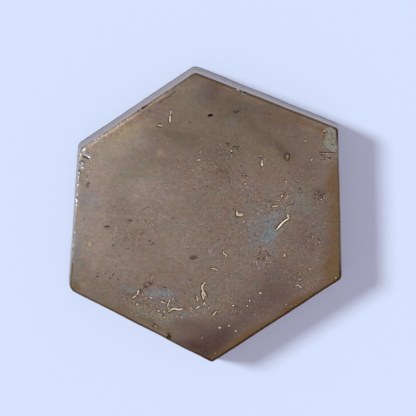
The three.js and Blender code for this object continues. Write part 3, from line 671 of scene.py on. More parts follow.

# ---------------------------------------------------------------------------------------------------
# The skin. Bare pyrite is pale brass; this face has tarnished to bronze brown, with steel-blue, sage,
# golden and plum clouds, some of which also hold painted light. Fields on the mesh say where each
# cloud, grain and hole lies.

# Soft clouds that make up each field: x, y, half length, half width, heading, strength. Most fields are
# colours of tarnish, and "frost" is a bloom over it. The pale clouds on the left and the golden ones
# along the upper-left rim are partly painted light, paler where the window's light falls. The shade
# clouds, with the plum at the bottom and the rust at the right, are partly painted shade, darker on
# the right and towards the bottom, away from it. "coarse" is where the polish is grainy. Along the rim,
# one field is partly rubbed pale and partly a painted highlight where the rim faces the window,
# "stained" is brown, and one is painted shade, nearly black where the rim faces away from the window.
CLOUDS = {
    # Partly painted light: paler on the left, where the window's light falls.
    "pale_and_lit": (
        (-17.5, 4.0, 4.0, 7.0, 0, 0.9), (-16.5, -3.0, 4.5, 5.0, 0, 0.6), (-9.5, 5.5, 5.0, 4.0, 0, 0.55),
        (-15.0, 9.5, 4.5, 2.8, 34, 0.8), (-12.0, -7.0, 5.0, 3.0, -25, 0.45),
        (-18.7, 0.5, 0.9, 9.0, -5, 0.38), (-10.8, 13.7, 6.5, 1.0, 34, 0.4),
        (-3.0, -5.0, 6.0, 5.0, 0, 0.4), (-6.0, -1.0, 5.0, 5.0, 0, 0.35), (-3.0, 4.5, 5.0, 3.5, 0, 0.25),
        (6.0, -6.0, 4.0, 3.0, 0, 0.25), (-9.7, 4.0, 2.5, 2.0, 0, 0.3), (-13.8, 9.5, 3.0, 2.5, 34, 0.4),
        (-9.7, -0.3, 2.0, 1.6, 0, 0.25), (6.2, -0.3, 1.5, 1.5, 0, 0.2), (18.2, 9.4, 1.0, 0.8, 0, 0.2),
        (-9.7, 11.8, 2.2, 1.5, 20, 0.6), (-13.7, 11.8, 2.2, 1.2, 20, 0.35),
        (-17.8, 3.6, 1.2, 1.6, 0, 0.35), (-16.5, -7.6, 2.0, 1.2, 0, 0.3), (17.6, 9.2, 1.4, 1.0, 0, 0.5),
    ),
    "plum": (
        (1.0, -18.9, 4.6, 2.4, 20, 0.95), (-2.6, -18.6, 3.0, 0.9, -28, 0.6),
        (-1.2, -16.0, 2.6, 1.6, 0, 0.4), (6.5, -14.0, 6.0, 3.2, 33, 0.6),
        (10.5, -8.8, 4.0, 2.6, 30, 0.5), (12.5, -12.0, 4.0, 2.0, 33, 0.4), (15.5, 7.5, 3.0, 2.5, 0, 0.3),
        (1.0, 18.9, 2.2, 1.6, 0, 0.62), (11.3, 10.4, 1.8, 0.9, -45, 0.5), (14.5, 10.0, 2.5, 2.5, 0, 0.2),
        (8.0, 12.3, 3.5, 1.0, -35, 0.35), (14.0, -4.5, 3.5, 3.0, 0, 0.2),
    ),
    "dun": (
        (4.0, 13.5, 11.0, 4.5, -20, 0.85), (-4.0, 12.0, 4.5, 3.0, 0, 0.4),
        (14.8, -8.0, 3.0, 2.6, 0, 0.6), (10.5, 8.0, 6.0, 3.5, -20, 0.35),
        (-10.0, -12.6, 6.0, 1.2, -27, 0.4),
    ),
    # Partly painted shade: darker on the right, top and bottom, away from the window's light.
    "shade": (
        (4.0, 16.3, 7.0, 2.4, -10, 0.5), (-4.5, 12.4, 2.6, 1.3, -20, 0.5),
        (9.5, 13.0, 8.0, 4.5, -21, 0.35), (2.5, 10.5, 4.5, 4.5, 0, 0.4), (16.2, 3.4, 1.6, 1.2, 0, 0.4),
        (17.0, -2.0, 3.0, 9.0, 0, 0.35), (-3.0, -15.8, 4.0, 1.4, -28, 0.35),
        (13.0, 12.0, 4.0, 2.5, 0, 0.2), (-13.0, -12.0, 3.0, 1.2, -28, 0.25),
        (2.2, 7.7, 2.2, 2.0, 0, 0.45), (-2.0, 11.8, 2.2, 2.0, 0, 0.3), (14.0, 7.0, 3.0, 3.0, 0, 0.25),
        (14.5, -1.5, 2.5, 4.0, 0, 0.3), (0.0, 19.0, 3.0, 2.5, 0, 0.35), (-1.8, -16.4, 2.5, 1.5, 0, 0.1),
        (-13.7, -0.8, 1.5, 1.5, 0, 0.15), (8.5, 12.7, 3.6, 0.7, -38, 0.26),
        (-1.5, 21.1, 1.6, 0.6, 0, 0.45), (1.0, -20.7, 2.2, 1.2, 0, 2.2),
        (-11.2, -11.6, 1.0, 0.8, 0, 0.5), (-13.7, -4.3, 1.6, 1.6, 0, 0.25),
        (-5.7, -4.3, 1.4, 1.2, 0, 0.12), (14.2, -4.3, 1.5, 1.5, 0, 0.15), (17.4, 4.2, 1.0, 1.0, 0, 0.4),
        (18.0, -4.0, 0.8, 1.6, 0, 0.3), (-3.2, -17.0, 3.4, 1.0, -28, 0.35),
        (1.0, -20.2, 3.2, 1.6, 0, 0.3), (11.2, -14.7, 12.0, 1.1, 33.5, 0.45),
        (-9.2, -15.8, 12.0, 1.0, -27.6, 0.22), (9.0, 15.9, 9.0, 1.6, -21.3, 0.15),
    ),
    "gold": (
        (-12.8, 12.6, 3.6, 1.3, 34, 1.0), (-9.6, 13.6, 2.6, 1.4, 34, 0.55),
        (-12.5, 10.2, 3.0, 1.1, 30, 0.3), (-6.4, 9.7, 1.2, 0.7, 0, 0.6), (-4.6, 18.7, 3.4, 0.7, 34, 0.4),
        (-7.3, 13.6, 0.9, 0.6, 0, 0.6), (-8.5, 1.2, 1.2, 0.6, 0, 0.4), (-14.2, -6.0, 1.2, 0.6, 0, 0.35),
        (-10.0, -8.3, 1.2, 0.6, 0, 0.35), (-18.2, -9.6, 1.0, 0.6, 0, 0.7),
        (19.6, -8.9, 1.3, 0.9, 30, 0.7), (17.4, 12.4, 0.6, 0.6, 0, 0.4),
        (-10.5, -13.2, 2.2, 0.7, -20, 0.35), (14.8, 13.8, 1.4, 0.8, -21, 0.5),
        (16.5, 13.5, 1.0, 0.7, -21, 0.55), (0.0, 7.0, 4.0, 2.0, 0, 0.3), (3.0, 8.5, 3.0, 1.5, 0, 0.25),
        (-16.0, -10.5, 3.0, 0.9, -25, 0.3),
    ),
    "rust": (
        (10.5, 14.8, 3.5, 1.6, -21, 0.55), (4.0, 19.0, 3.0, 0.8, -21, 0.7),
        (17.4, 12.2, 0.5, 1.6, 0, 0.8), (16.9, 13.3, 0.8, 0.6, 0, 0.5), (15.0, 14.3, 3.0, 0.8, -21, 0.7),
        (19.4, 4.0, 1.5, 5.0, 0, 0.8), (19.8, -4.0, 1.8, 4.8, 0, 0.9), (19.3, -8.0, 2.2, 2.4, 30, 0.95),
        (14.5, -8.0, 2.4, 1.8, 0, 0.4), (2.3, 7.2, 1.8, 1.2, 0, 0.5), (11.8, -13.9, 6.0, 0.8, 33.5, 0.9),
        (5.0, -18.2, 4.0, 0.7, 33.5, 0.7), (-8.6, -8.8, 1.2, 0.5, 20, 0.3),
        (-9.3, -10.7, 0.9, 0.35, 50, 0.7), (11.9, 9.2, 0.5, 0.6, 0, 0.6),
        (-0.5, -15.0, 3.0, 1.0, 0, 0.2), (1.0, -19.2, 3.0, 2.0, 0, 0.15), (18.9, 6.6, 1.2, 2.2, 0, 0.4),
        (18.3, 1.0, 1.4, 3.5, 0, 0.25), (11.0, -15.1, 16.0, 0.5, 33.5, 0.9),
    ),
    "umber": (
        (11.2, -14.7, 13.0, 1.3, 33.5, 0.5), (1.0, -19.4, 2.6, 1.2, 0, 0.2),
    ),
    "olive": (
        (-19.2, -9.9, 1.0, 1.3, 0, 1.0), (-13.5, -13.2, 5.0, 0.8, -27.6, 0.6),
        (-7.0, -16.5, 3.6, 0.7, -27.6, 0.8), (18.9, -7.6, 1.4, 2.2, 20, 0.7),
        (-4.5, 12.6, 2.4, 1.1, -20, 0.5), (13.6, -8.2, 1.0, 1.2, 0, 0.35),
        (12.0, 9.15, 0.45, 0.55, 0, 0.7), (-18.7, 7.0, 0.6, 1.5, 0, 0.4),
    ),
    "sage": (
        (-12.0, 6.2, 2.4, 1.4, 10, 0.6), (-6.3, -14.3, 2.4, 1.1, -10, 0.95),
        (-8.6, 7.6, 3.0, 1.6, 0, 0.5), (-14.0, 8.6, 2.0, 1.0, 0, 0.3), (-4.0, 14.5, 2.0, 1.4, 0, 0.35),
        (-12.0, -2.5, 2.0, 1.2, 0, 0.25), (-2.4, 17.3, 2.0, 1.6, 0, 0.4), (-6.0, 12.2, 1.2, 1.2, 0, 0.4),
        (14.6, 3.0, 2.0, 2.4, 0, 0.6), (-18.9, -7.6, 0.8, 1.6, 0, 0.7), (2.4, -13.4, 1.6, 1.0, 0, 0.4),
        (-1.0, -12.4, 1.6, 1.2, 0, 0.4), (-8.8, -14.7, 1.8, 1.0, -28, 0.5), (8.6, 4.6, 2.0, 1.2, 0, 0.3),
        (-8.3, -9.6, 0.6, 0.4, 0, 0.4), (5.4, -7.0, 2.0, 2.0, 0, 0.2), (18.6, 12.0, 0.75, 2.2, 0, 1.3),
        (-18.0, 5.8, 0.8, 1.8, 0, 0.8), (-5.7, -8.4, 1.8, 1.4, 0, 0.35), (6.2, -4.4, 1.6, 1.4, 0, 0.3),
        (-1.8, 19.6, 2.0, 1.4, 0, 0.45), (-13.0, 9.6, 2.4, 1.2, 20, 0.35),
        (-14.5, -4.0, 1.5, 2.0, 0, 0.25), (-8.0, -4.0, 1.5, 1.0, 0, 0.4), (0.6, 0.2, 2.0, 1.2, 0, 0.3),
    ),
    "steel": (
        (9.9, -2.5, 1.1, 1.1, 0, 0.8), (9.2, -0.4, 2.0, 1.5, 60, 0.6), (8.2, -3.6, 1.8, 1.0, 30, 0.5),
        (6.8, -1.8, 1.2, 2.6, 0, 0.5), (11.0, 0.4, 1.8, 0.9, 45, 0.4), (8.4, -6.7, 1.2, 0.7, 20, 0.65),
        (5.6, -7.4, 1.2, 0.8, 0, 0.35), (1.4, -4.3, 0.7, 1.1, 0, 0.65), (-6.6, -11.3, 2.2, 0.95, 0, 1.1),
        (-11.4, -10.4, 2.0, 0.7, -10, 0.7), (-2.6, -14.0, 1.6, 1.0, 0, 0.5),
        (-0.5, -11.6, 1.2, 1.2, 0, 0.4), (-18.8, -4.6, 0.7, 3.6, -4, 0.8), (13.4, 3.2, 1.6, 2.6, 0, 0.4),
        (15.5, 1.2, 2.0, 1.6, 0, 0.3), (4.2, 14.4, 1.4, 1.0, -35, 0.5), (0.4, 18.2, 1.4, 1.4, 0, 0.5),
        (17.8, 2.4, 0.8, 1.8, 0, 0.25), (7.6, 2.0, 2.2, 1.0, 0, 0.3), (16.2, -1.8, 1.0, 2.0, 0, 0.35),
        (1.8, -10.6, 1.6, 0.9, 0, 0.35), (-1.6, 15.0, 2.4, 1.8, 0, 0.25),
        (-2.5, -9.2, 2.5, 0.9, 0, 0.25), (5.6, 5.8, 1.2, 0.8, 0, 0.3), (18.9, 11.9, 0.45, 1.7, 0, 0.4),
        (9.8, -4.3, 1.3, 1.1, 0, 0.5), (10.2, -0.6, 1.6, 1.4, 45, 0.3), (-6.0, -12.8, 2.4, 1.2, 0, 0.3),
    ),
    "lavender": (
        (-16.8, 3.3, 1.3, 2.4, 0, 0.8), (-17.9, 1.8, 0.9, 2.4, 0, 0.5), (-18.0, -2.0, 0.9, 2.4, 0, 0.4),
        (-12.8, 3.0, 2.0, 2.0, 0, 0.3), (-3.2, -0.2, 2.4, 1.6, 0, 0.3), (10.6, -8.0, 1.6, 1.6, 0, 0.4),
        (8.0, 15.0, 1.4, 1.4, 0, 0.35), (14.6, 9.2, 2.4, 1.4, 0, 0.35), (7.4, -12.6, 2.6, 1.4, 20, 0.3),
        (0.5, 17.6, 1.6, 1.6, 0, 0.3),
    ),
    "coarse": (
        (8.8, -5.8, 1.6, 1.3, 20, 1.0), (17.0, 3.4, 1.6, 1.2, 0, 1.0), (15.8, -2.5, 1.6, 2.8, 0, 0.7),
        (10.0, -0.6, 3.0, 3.0, 0, 0.4), (3.6, 10.6, 2.2, 1.2, 0, 0.6), (18.2, 9.3, 1.4, 0.9, 0, 0.9),
        (-6.5, -13.5, 4.0, 1.8, 0, 0.8), (2.0, 6.5, 5.0, 3.0, 0, 0.35), (3.0, -13.5, 5.0, 1.6, 0, 0.5),
        (-9.5, -10.8, 1.8, 1.2, 50, 0.8), (11.0, 2.4, 3.0, 1.6, 20, 0.6), (0.0, -3.5, 3.0, 3.0, 0, 0.2),
        (-10.5, -2.0, 5.0, 3.0, 0, 0.3), (18.2, 12.0, 1.4, 1.8, 0, 0.7),
        (-17.5, 8.0, 1.6, 2.6, -20, 0.8), (14.0, -9.0, 2.5, 2.0, 0, 0.4),
        (-12.5, -11.5, 3.0, 1.2, -25, 0.5), (13.5, 6.5, 1.6, 1.6, 0, 0.5), (7.0, 3.0, 9.0, 8.0, 0, 0.25),
        (8.0, -5.0, 9.0, 8.0, 0, 0.25), (-1.0, -12.0, 9.0, 4.0, 0, 0.2),
    ),
    "frost": (
        (18.75, 12.4, 0.68, 1.5, 0, 1.5), (18.8, 11.0, 0.7, 0.9, 0, 1.2),
        (17.8, 13.6, 0.6, 0.3, -21, 0.8),
    ),
    # Partly rubbed pale, partly a painted highlight on the rim where it faces the window.
    "wear_and_highlight": (
        (-14.5, 12.8, 5.2, 2.0, 34, 1.9), (-6.5, 18.2, 3.0, 1.5, 34, 0.6),
        (-18.6, 8.4, 1.0, 1.4, -5, 0.3), (-19.0, 2.2, 0.9, 1.2, -5, 0.15),
        (-19.5, -4.5, 0.9, 3.0, -5, 0.1), (17.5, 13.9, 2.0, 0.8, -21, 0.2),
    ),
    "stained": (
        (9.0, 17.5, 15.0, 1.6, -21.3, 1.2), (19.9, 2.2, 1.6, 14.0, 0, 0.2),
        (-9.6, -16.1, 16.0, 1.6, -27.6, 0.8), (-8.0, 17.2, 11.0, 1.6, 34, 0.6),
        (-19.9, -8.0, 1.0, 3.0, 0, 0.6), (-19.2, 1.5, 1.0, 7.0, -5, 0.3), (-1.5, 21.3, 1.5, 1.0, 0, 1.0),
    ),
    # Painted shade on the rim where it faces away from the window.
    "rim_shade": (
        (10.7, -15.4, 16.0, 1.6, 33.5, 1.6), (1.0, -21.4, 3.0, 1.2, 0, 1.0),
        (-9.6, -16.1, 14.0, 1.6, -27.6, 0.45), (20.0, -2.0, 1.0, 9.0, 0, 0.25),
        (19.5, 12.7, 0.7, 1.4, 0, 0.8),
    ),
}
MARK_REACH = 0.5  # how far round a grain or hole its field is worked out
FACE_REACH = 0.9  # how far below the face its fields still count
WARP = 0.35  # how far the clouds are pushed about, so that none is a plain oval
WARP_LENGTH = 3  # length of the swells that push them
SHARP_EDGE = 32  # degrees between two facets, above which the edge between them stays sharp
MILLIMETRE = 0.001


def field(name, values):
    """Gives every point of the mesh a value that the material can read by name."""
    attribute = slab_mesh.attributes.new(name, "FLOAT", "POINT")
    attribute.data.foreach_set("value", np.ascontiguousarray(values, np.float32))


def mark_fields(points, marks):
    """How far each point is inside its nearest mark, and that mark's strength and hue."""
    gap = np.full(len(points), -MARK_REACH)
    strength = np.zeros(len(points))
    hue = np.zeros(len(points))
    for loop, loop_strength, loop_hue in marks:
        near = ((points > loop.min(0) - MARK_REACH) & (points < loop.max(0) + MARK_REACH)).all(1)
        near = np.flatnonzero(near)
        depth_inside = signed_distance(points[near], loop)
        closer = depth_inside > gap[near]
        gap[near[closer]] = depth_inside[closer]
        strength[near[closer]] = loop_strength
        hue[near[closer]] = loop_hue
    return gap, strength, hue


places = np.empty(len(slab_mesh.vertices) * 3, np.float32)
slab_mesh.vertices.foreach_get("co", places)
places = places.reshape(-1, 3).astype(float)
plan, height = places[:, :2], places[:, 2]
upper = height > 0.5 * THICKNESS
on_face = height > THICKNESS - FACE_REACH
rim_gap = signed_distance(plan, outline(lambda flare: 0)[::4]) - (THICKNESS - height)
field("rim", np.where(upper, rim_gap, -THICKNESS))  # 0 halfway down the rim, less on the side below it
field("depth", THICKNESS - height)
for name, marks in (("grain", pale_marks), ("hole", dark_marks)):
    gap, strength, hue = mark_fields(plan, marks)
    field(name, np.where(on_face, gap, -MARK_REACH))
    field(name + "_strength", strength)
    field(name + "_hue", hue)
warp = np.stack((waves(plan, WARP_LENGTH, seed=41), waves(plan, WARP_LENGTH, seed=42)), axis=1) * WARP
for name, clouds in CLOUDS.items():
    total = np.zeros(len(plan))
    for x, y, length, width, heading, strength in clouds:
        local = turned(plan + warp - (x, y), -heading) / (length, width)
        total += strength * np.exp(-(local ** 2).sum(1))
    field(name, np.where(on_face, total, 0))

# The flat map that the colours are laid out on: the face at the largest scale, the six sides as strips,
# and the hidden back smallest.
FACE_PLACE, FACE_SCALE = (0.006, 0.006), 0.0178
BACK_PLACE, BACK_SCALE = (0.765, 0.006), 0.0054
SIDE_SCALE = 0.0145
SIDE_PLACES = ((0.006, 0.812), (0.376, 0.812), (0.006, 0.905), (0.376, 0.905), (0.765, 0.28), (0.86, 0.28))


def per_face(name, width):
    """What the mesh holds under that name for every facet, a row of width numbers each."""
    values = np.empty(len(slab_mesh.polygons) * width, np.float32)
    slab_mesh.polygons.foreach_get(name, values)
    return values.reshape(-1, width)


facing, middle = per_face("normal", 3), per_face("center", 3)
chip_share = np.empty(len(slab_mesh.polygons), np.float32)
slab_mesh.attributes["broken"].data.foreach_get("value", chip_share)
high = middle[:, 2] > 0.5 * THICKNESS
on_top = high & ((facing[:, 2] > 0.2) | (chip_share > 0))
on_back = ~high & ((facing[:, 2] < -0.8) | (chip_share > 0))
starts = np.array([corner[:2] for corner in CORNERS])
ends = np.roll(starts, -1, axis=0)
along = np.array([unit(end - start) for start, end in zip(starts, ends)])
outward = np.stack((-along[:, 1], along[:, 0]), axis=1)
side_of = (facing[:, :2] @ outward.T).argmax(1)
corners_of = per_face("loop_total", 1)[:, 0].astype(int)
corner_points = np.empty(len(slab_mesh.loops), np.int32)
slab_mesh.loops.foreach_get("vertex_index", corner_points)
point = places[corner_points]
side = np.repeat(side_of, corners_of)
travel = ((point[:, :2] - starts[side]) * along[side]).sum(1) + 1
lying = np.stack((travel, point[:, 2]), axis=1)
strip = np.where((side < 4)[:, None], lying, lying[:, ::-1])
flat_places = np.array(SIDE_PLACES)[side] + SIDE_SCALE * strip
from_corner = point[:, :2] - plan.min(0)
top_corner, back_corner = np.repeat(on_top, corners_of), np.repeat(on_back, corners_of)
flat_places[top_corner] = (FACE_PLACE + FACE_SCALE * from_corner)[top_corner]
flat_places[back_corner] = (BACK_PLACE + BACK_SCALE * from_corner)[back_corner]
flat_map = slab_mesh.uv_layers.new(name="OFBake")
flat_map.uv.foreach_set("vector", np.ascontiguousarray(flat_places, np.float32).ravel())

slab_mesh.transform(Matrix.Scale(MILLIMETRE, 4))
slab_mesh.shade_smooth()
slab_mesh.set_sharp_from_angle(angle=math.radians(SHARP_EDGE))


class Wire:
    """A socket of a node tree. Arithmetic on it adds Math nodes; add() puts in any other node."""

    def __init__(self, tree, socket=None):
        self.tree = tree
        self.socket = socket

    def add(self, kind, settings, inputs, output=None):
        node = self.tree.nodes.new(kind)
        for name, value in settings.items():
            if name == "stops":
                for stop, (position, colour) in zip(node.color_ramp.elements, value):
                    stop.position = position
                    stop.color = (*colour, 1)
            else:
                setattr(node, name, value)
        for name, value in inputs.items():
            if isinstance(value, Wire):
                self.tree.links.new(value.socket, node.inputs[name])
            else:
                node.inputs[name].default_value = value
        return Wire(self.tree, None if output is None else node.outputs[output])

    def math(self, operation, first, second=0.0):
        return self.add("ShaderNodeMath", {"operation": operation}, {0: first, 1: second}, 0)

    def __add__(self, other):
        return self.math("ADD", self, other)

    def __radd__(self, other):
        return self.math("ADD", other, self)

    def __sub__(self, other):
        return self.math("SUBTRACT", self, other)

    def __rsub__(self, other):
        return self.math("SUBTRACT", other, self)

    def __mul__(self, other):
        return self.math("MULTIPLY", self, other)

    def __rmul__(self, other):
        return self.math("MULTIPLY", other, self)


skin = bpy.data.materials.new("polished_pyrite")
skin.use_nodes = True
skin.node_tree.nodes.clear()
pen = Wire(skin.node_tree)


def reading(name):
    """The mesh's own field of that name."""
    return pen.add("ShaderNodeAttribute", {"attribute_name": name}, {}, "Fac")


def ramp(value, low, high):
    """0 where value is below low and 1 where it is above high, with a soft rise between."""
    return pen.add(
        "ShaderNodeMapRange", {"interpolation_type": "SMOOTHSTEP"},
        {"Value": value, "From Min": low, "From Max": high}, "Result")


def mix(share, under, over):
    """One colour over another, as far as share says."""
    colours = {0: share, 6: under, 7: over}
    for index in (6, 7):
        if isinstance(colours[index], tuple):
            colours[index] = (*colours[index], 1)
    return pen.add("ShaderNodeMix", {"data_type": "RGBA"}, colours, 2)


def vectors(operation, first, second):
    return pen.add("ShaderNodeVectorMath", {"operation": operation}, {0: first, 1: second}, "Vector")


def scaled(colour, amount):
    """A colour made lighter or darker."""
    return pen.add("ShaderNodeVectorMath", {"operation": "SCALE"}, {0: colour, "Scale": amount}, "Vector")


def part(vector, axis):
    """One of the three numbers of a vector or a colour, by the name of its axis."""
    return vector.add("ShaderNodeSeparateXYZ", {}, {0: vector}, axis)


def speckle(scale, detail, roughness, place=None):
    """Cloudy noise over the stone, with scale swells to the millimetre, mostly 0.3 to 0.7."""
    return pen.add(
        "ShaderNodeTexNoise", {"noise_dimensions": "3D"},
        {"Vector": place or here, "Scale": scale, "Detail": detail, "Roughness": roughness}, "Fac")


metres = pen.add("ShaderNodeTexCoord", {}, {}, "Object")
here = vectors("MULTIPLY", metres, (1000, 1000, 1000))

swells = speckle(0.55, 4, 0.6)
mottle = speckle(1.7, 4, 0.65)
grit = speckle(5.5, 2, 0.6)
coarse = reading("coarse")
ragged = (mottle - 0.5) * 1.2 + (grit - 0.5) * 0.6

# Bronze tarnish, from rosy brown to grey brown, under clouds of other tarnish colours. Some of them also
# hold painted light: the pale and golden clouds lighter on the left, where the window's light falls, and
# the shade, plum and rust clouds darker on the right and towards the bottom, away from it.
tinted = mix(ramp(swells, 0.38, 0.62), (0.226, 0.177, 0.146), (0.21, 0.178, 0.153))
for name, low, high, most, colour in (
        ("pale_and_lit", 0.1, 1.3, 1.0, (0.326, 0.287, 0.252)),
        ("shade", 0.05, 1.3, 1.0, (0.1, 0.078, 0.062)),
        ("dun", 0.1, 1.2, 0.6, (0.18, 0.15, 0.096)),
        ("plum", 0.05, 1.3, 1.0, (0.088, 0.053, 0.048)),
        ("gold", 0.1, 1.2, 0.9, (0.36, 0.3, 0.205)),
        ("rust", 0.1, 1.1, 0.9, (0.17, 0.107, 0.052)),
        ("umber", 0.1, 1.1, 0.9, (0.11, 0.066, 0.035)),
        ("olive", 0.1, 1.1, 0.8, (0.15, 0.118, 0.05)),
        ("sage", 0.1, 1.1, 0.8, (0.22, 0.22, 0.168)),
        ("lavender", 0.1, 1.2, 0.8, (0.255, 0.235, 0.26)),
        ("steel", 0.1, 1.1, 0.85, (0.193, 0.236, 0.258)),
        ("frost", 0.35, 0.75, 0.85, (0.265, 0.282, 0.236))):
    tinted = mix(ramp(reading(name) + ragged * 0.3, low, high) * most, tinted, colour)

# The tarnish drifts between mauve and sage and between blue and yellow. Every few tenths of a
# millimetre it is flecked lighter and darker.
drift = speckle(0.45, 3, 0.65, vectors("ADD", here, (31.0, 17.0, 0.0)))
small_drift = speckle(1.2, 3, 0.7, vectors("ADD", here, (11.0, 47.0, 0.0)))
crumbs = speckle(3.2, 2, 0.6)
to_sage = mix(ramp(drift, 0.36, 0.64), (0.962, 1.028, 0.972), (1.012, 1.008, 0.998))
to_yellow = mix(ramp(small_drift, 0.34, 0.66), (0.98, 1.0, 1.05), (1.02, 1.0, 0.95))
tinted = vectors("MULTIPLY", vectors("MULTIPLY", tinted, to_sage), to_yellow)
tinted = mix(ramp(crumbs, 0.6, 0.72) * (0.15 + coarse * 0.4), tinted, (0.36, 0.29, 0.17))
tinted = mix((1 - ramp(crumbs, 0.28, 0.4)) * (0.1 + coarse * 0.3), tinted, (0.12, 0.12, 0.14))
streaks = speckle(1.3, 3, 0.6, vectors("MULTIPLY", here, (0.35, 1.6, 1.0)))
tone = 1 + (swells - 0.5) * 0.15 + (streaks - 0.5) * 0.25 + (mottle - 0.5) * (0.35 + coarse * 0.4)
tone = tone + (crumbs - 0.5) * (0.2 + coarse * 0.6) + (grit - 0.5) * (0.4 + coarse * 1.3)


def strokes(scale, shift, chance, length, width):
    """Short bent scratches, one at most in each random cell: how far each place is across its scratch,
    in widths, and a share that is 1 within the scratch's length."""
    cell = {"voronoi_dimensions": "2D", "feature": "F1"}
    moved = vectors("ADD", here, (shift, shift * 1.7, 0.0))
    random = pen.add("ShaderNodeTexVoronoi", cell, {"Vector": moved, "Scale": scale}, "Color")
    middle = pen.add("ShaderNodeTexVoronoi", cell, {"Vector": moved, "Scale": scale}, "Position")
    red, green, blue = part(random, "X"), part(random, "Y"), part(random, "Z")
    offset = vectors("SUBTRACT", moved, middle)
    local = pen.add("ShaderNodeVectorRotate", {"rotation_type": "Z_AXIS"},
                    {"Vector": offset, "Angle": red * (2 * math.pi)}, "Vector")
    along, across = part(local, "X"), part(local, "Y")
    across = (across + along * along * (blue - 0.5) * 3) * (1 / width)
    reach = 1 - ramp(pen.math("ABSOLUTE", along) * (1 / length), 0.4, 0.6)
    return across, reach * ramp(green, 1 - chance, 1.02 - chance)


def line(across, place, half_width):
    """1 along a scratch, at that place across it."""
    return 1 - ramp(pen.math("ABSOLUTE", across - place), 0.4 * half_width, half_width)


relief = (grit - 0.5) * (0.01 + coarse * 0.016) + (mottle - 0.5) * 0.01
for scale, shift, chance, length, width in (
        (0.9, 5.0, 0.55, 0.6, 0.1),
        (1.5, 23.0, 0.5, 0.35, 0.08),
        (0.45, 71.0, 0.5, 1.2, 0.08)):
    across, reach = strokes(scale, shift, chance, length, width)
    reach = reach * ramp(coarse + ragged, -0.2, 0.6)
    # Painted shade in each scratch's groove and a painted highlight on its raised lip, over a small
    # relief.
    shaded_groove = line(across, -0.4, 0.9) * reach
    lit_lip = line(across, 0.6, 0.8) * reach
    tone = tone + lit_lip * 0.5 - shaded_groove * 0.45
    relief = relief + lit_lip * 0.006 - shaded_groove * 0.012

# Dark specks of grit left in the polish.
specks = pen.add("ShaderNodeTexVoronoi", {}, {"Vector": here, "Scale": 0.8}, "Distance")
speck = (1 - ramp(specks + (grit - 0.5) * 0.12, 0.03, 0.1)) * ramp(swells, 0.42, 0.6)
tone = tone - speck * 0.35
tinted = scaled(tinted, tone)

# The ground sides are cleaner. The lap left them in two facets that meet in a faint line, under fine
# scratches that run along them. Depths are counted from the face down.
FACET_LINE = 2.6  # where the two facets meet
LOWER_LINE = 4.1  # a fainter line near the foot
SHADED_FOOT = THICKNESS - 1.2  # where the dark foot of the sides begins
LINE_COLOUR = (0.13, 0.105, 0.095)
rim = reading("rim")
depth = reading("depth")
side_share = 1 - ramp(rim, -0.3, -0.05)
lines = speckle(1.0, 2, 0.6, vectors("MULTIPLY", here, (0.6, 0.6, 10.0)))
wavy = depth + (swells - 0.5) * 0.3
side_colour = mix(ramp(lines, 0.36, 0.64), (0.29, 0.227, 0.183), (0.322, 0.253, 0.207))
# Painted reflection: the top of the sides is lighter, for the bright board farther out that it mirrors.
side_colour = mix((1 - ramp(depth, 0.7, 1.4)) * 0.6, side_colour, (0.445, 0.342, 0.265))
side_colour = mix(ramp(wavy, 2.7, 2.9) * 0.3, side_colour, (0.26, 0.2, 0.14))
facet_line = line(wavy, FACET_LINE, 0.3)
side_colour = mix(facet_line * 0.35, side_colour, LINE_COLOUR)
side_colour = mix(line(wavy, LOWER_LINE, 0.12) * 0.15, side_colour, LINE_COLOUR)
side_colour = mix(ramp(mottle, 0.56, 0.72) * 0.2, side_colour, (0.2, 0.15, 0.11))
# Painted shade: the foot of the sides is nearly black, for the dark where the stone meets the board.
foot_shade = ramp(depth + (mottle - 0.5) * 0.4, SHADED_FOOT, THICKNESS - 0.85)
side_colour = mix(foot_shade * 0.85, side_colour, (0.06, 0.045, 0.04))
tinted = mix(side_share, tinted, side_colour)

# The back was lapped and left as it was: dull brass grey with brown stains, scratched every way.
back_share = ramp(depth, THICKNESS - 0.12, THICKNESS - 0.03)
lap = speckle(1.0, 2, 0.6, vectors("MULTIPLY", here, (6.0, 0.6, 1.0)))
cross = speckle(1.0, 2, 0.6, vectors("MULTIPLY", here, (0.8, 7.0, 1.0)))
back_colour = mix(ramp(swells, 0.35, 0.65), (0.35, 0.275, 0.175), (0.42, 0.335, 0.215))
back_colour = mix(ramp(mottle + (swells - 0.5), 0.5, 0.75) * 0.4, back_colour, (0.2, 0.14, 0.08))
back_tone = 1 + (lap - 0.5) * 0.6 + (cross - 0.5) * 0.6 + (grit - 0.5) * 0.4
tinted = mix(back_share, tinted, scaled(back_colour, back_tone))

# The rounded rim: pale in some places, partly rubbed and partly a painted highlight where the rim faces
# the window; stained brown along most of its length; and along the lower edges painted shade, nearly
# black with a brown tint, where the rim faces away from the window and reflects the dark.
patchy = (speckle(1.3, 3, 0.6) - 0.5) * 0.8
wear_and_highlight_line = ramp(rim, 0.08, 0.22) * (1 - ramp(rim + (crumbs - 0.5) * 0.8, 0.3, 0.6))
wear_and_highlight_share = wear_and_highlight_line * ramp(reading("wear_and_highlight") + patchy + (crumbs - 0.5) * 1.6, 0.1, 1.0)
tinted = mix(wear_and_highlight_share * 0.85, tinted, (0.62, 0.54, 0.41))
stain_line = ramp(rim, -0.05, 0.1) * (1 - ramp(rim + (grit - 0.5) * 0.3, 0.2, 0.42))
stain_share = stain_line * ramp(reading("stained") + patchy * 0.5, 0.0, 0.8)
tinted = mix(stain_share * 0.8, tinted, (0.09, 0.048, 0.018))
